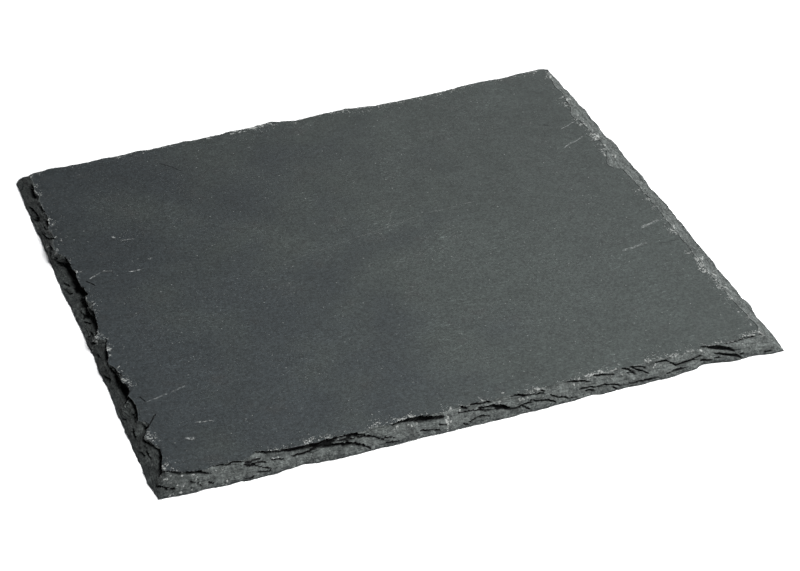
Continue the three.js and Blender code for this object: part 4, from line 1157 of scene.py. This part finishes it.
def broken_rim(stone, sideways, height, streaked, layers):
    """The broken stone of the rim, darker at its left end as painted shade: streaks that run down with the
    blows, blotches, pits and thin layers
    """
    # Painted shade: the rim is darker at its left end
    rim = stone.shaded(RIM_GREY, sideways, 0, RIM_PAINTED_SHADE_REACH, *RIM_PAINTED_SHADE)
    rim = grained(stone, rim, BLOW_GRAIN, streaked)
    rim = grained(stone, rim, RIM_GRAIN)
    low = stone.ramp(height, *PITTED_HEIGHTS)
    pits = stone.math("MULTIPLY_ADD", low, 0.13, stone.noise(1.3, detail=4, roughness=0.7))
    pits = stone.ramp(pits, low=0.59, high=0.64)
    rim = stone.mix(stone.math("MULTIPLY", pits, 0.75), rim, DARK_GRAIN)
    rim = stone.mix(stone.ramp(layers, low=0.60, high=0.66, start=0, end=0.8), rim, DARK_GRAIN)
    return stone.shaded(rim, layers, 0.40, 0.34, *LAYER_SHADES)


def crushed_share(stone):
    """Where crushed grains and bruises leave the stone pale"""
    crumbs = stone.noise(0.8, detail=4, roughness=0.7)
    clumps = stone.noise(4, detail=4, roughness=0.65)
    clumps = stone.ramp(clumps, low=0.38, high=0.62, start=0.03, end=0.34)
    crushed = stone.math("MULTIPLY_ADD", stone.attribute("crushed"), clumps, crumbs)
    bruised = stone.math("MULTIPLY_ADD", stone.attribute("bruised"), 0.36, crumbs)
    crushed = stone.ramp(crushed, low=0.70, high=0.76)
    bruised = stone.ramp(bruised, low=0.70, high=0.82)
    return stone.math("MAXIMUM", crushed, bruised)


def slate_relief(stone, streaked, broken, pale):
    """Relief of the stone, coarse to fine"""
    normal = stone.bump(stone.noise(7, detail=3, roughness=0.5, stretch=(0.5, 1.2, 1), turn=20), FACE_RELIEF)
    normal = stone.bump(stone.noise(1.3, detail=5, roughness=0.65), GRAIN_RELIEF, normal)
    blows = stone.noise(1.6, detail=5, roughness=0.7, stretch=(0.5, 1.4, 1), source=streaked)
    normal = stone.bump(stone.math("MULTIPLY", blows, broken), RIM_RELIEF, normal)
    return stone.bump(pale, CRUSHED_RELIEF, normal)


def slate_stone():
    """Dark grey slate with mottled tints, pale specks, crushed edges and fine cleavage grain"""
    stone = Stone("slate_stone")
    place = stone.node("ShaderNodeSeparateXYZ")
    stone.feed(place.inputs[0], stone.position)
    sideways = stone.math("MULTIPLY_ADD", place.outputs[0], 1 / (2 * HALF_LENGTH * MM), 0.5)
    backward = stone.math("MULTIPLY_ADD", place.outputs[1], 1 / (2 * HALF_DEPTH * MM), 0.5)
    blows = stone.node("ShaderNodeCombineXYZ")
    stone.feed(blows.inputs[0], stone.attribute("streak_across"))
    stone.feed(blows.inputs[1], stone.attribute("streak_down"))
    streaked = blows.outputs[0]
    layers = stone.noise(0.42, detail=3, roughness=0.6, stretch=(0.09, 1, 1), source=streaked)
    broken = stone.attribute("broken")
    pale = crushed_share(stone)

    face, crack_shade = marked_face(stone, split_face(stone, sideways, backward))
    rim = broken_rim(stone, sideways, place.outputs[2], streaked, layers)
    colour = stone.mix(stone.math("MULTIPLY", broken, RIM_COVER), face, rim)
    colour = stone.mix(stone.math("MULTIPLY", pale, PALE_COVER), colour, CRUSHED_GRAIN)
    # Painted shade: the slits and the dark cracks are painted near black, with a few slivers of rim grey
    slits = stone.ramp(stone.attribute("hollow_painted_shade"), low=0.15, high=0.7)
    hollow_painted_shade = stone.math("MAXIMUM", crack_shade, slits)
    slivers = stone.ramp(layers, low=0.55, high=0.60, start=0, end=0.30)
    painted_slit_shade = stone.mix(slivers, SLIT_PAINTED_SHADE, RIM_GREY)
    colour = stone.mix(stone.math("MULTIPLY", hollow_painted_shade, PAINTED_SHADE_COVER), colour, painted_slit_shade)
    stone.feed(stone.shader.inputs["Base Color"], colour)

    # Sheen of the cleft face, duller where it is broken or crushed, and with its reflection taken out in the
    # slits and cracks as painted shade
    rough = stone.noise(9, detail=4, roughness=0.6)
    rough = stone.ramp(rough, 0.3, 0.7, *FACE_ROUGHNESS)
    for share, roughness in ((broken, RIM_ROUGHNESS), (pale, CRUSHED_ROUGHNESS), (hollow_painted_shade, SLIT_ROUGHNESS)):
        rough = stone.math("MAXIMUM", rough, stone.math("MULTIPLY", share, roughness))
    stone.feed(stone.shader.inputs["Roughness"], rough)
    stone.shader.inputs["Specular IOR Level"].default_value = SPECULAR_LEVEL
    dullness_and_painted_shade = stone.math("MAXIMUM", hollow_painted_shade, stone.math("MULTIPLY", broken, RIM_DULLNESS))
    stone.feed(stone.shader.inputs["Specular Tint"], stone.mix(dullness_and_painted_shade, (1, 1, 1, 1), (0, 0, 0, 1)))
    stone.feed(stone.shader.inputs["Normal"], slate_relief(stone, streaked, broken, pale))
    return stone.material


def plain_material(name, colour, roughness):
    material = bpy.data.materials.new(name)
    material.use_nodes = True
    shader = material.node_tree.nodes["Principled BSDF"]
    shader.inputs["Base Color"].default_value = (*colour, 1)
    shader.inputs["Roughness"].default_value = roughness
    return material


# The studio

def pale_floor():
    deselect_all()
    bpy.ops.mesh.primitive_plane_add(size=FLOOR_SIZE, location=(0, 0, -FLOOR_GAP * MM))
    floor = bpy.context.active_object
    floor.name = "floor"
    floor.data.materials.append(plain_material("pale_floor", FLOOR_COLOUR, FLOOR_ROUGHNESS))


def soft_box(name, place, aim, size, power, colour):
    """A square light at a place, turned toward its aim"""
    data = bpy.data.lights.new(name, "AREA")
    data.shape = "SQUARE"
    data.size = size
    data.energy = power
    data.color = colour
    box = bpy.data.objects.new(name, data)
    bpy.context.collection.objects.link(box)
    box.location = place
    box.rotation_mode = "QUATERNION"
    box.rotation_quaternion = (Vector(aim) - Vector(place)).to_track_quat("-Z", "Y")


def studio_lights():
    for settings in SOFT_BOXES:
        soft_box(*settings)
    world = bpy.data.worlds.new("studio")
    world.use_nodes = True
    sky = world.node_tree.nodes["Background"]
    sky.inputs["Color"].default_value = (*SKY_COLOUR, 1)
    sky.inputs["Strength"].default_value = SKY_STRENGTH
    bpy.context.scene.world = world
    bpy.context.scene.view_settings.view_transform = "Standard"


photo_camera()
slab = slate_slab()
slab.data.materials.append(slate_stone())
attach(slab, "root")
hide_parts(NODE)
pale_floor()
studio_lights()
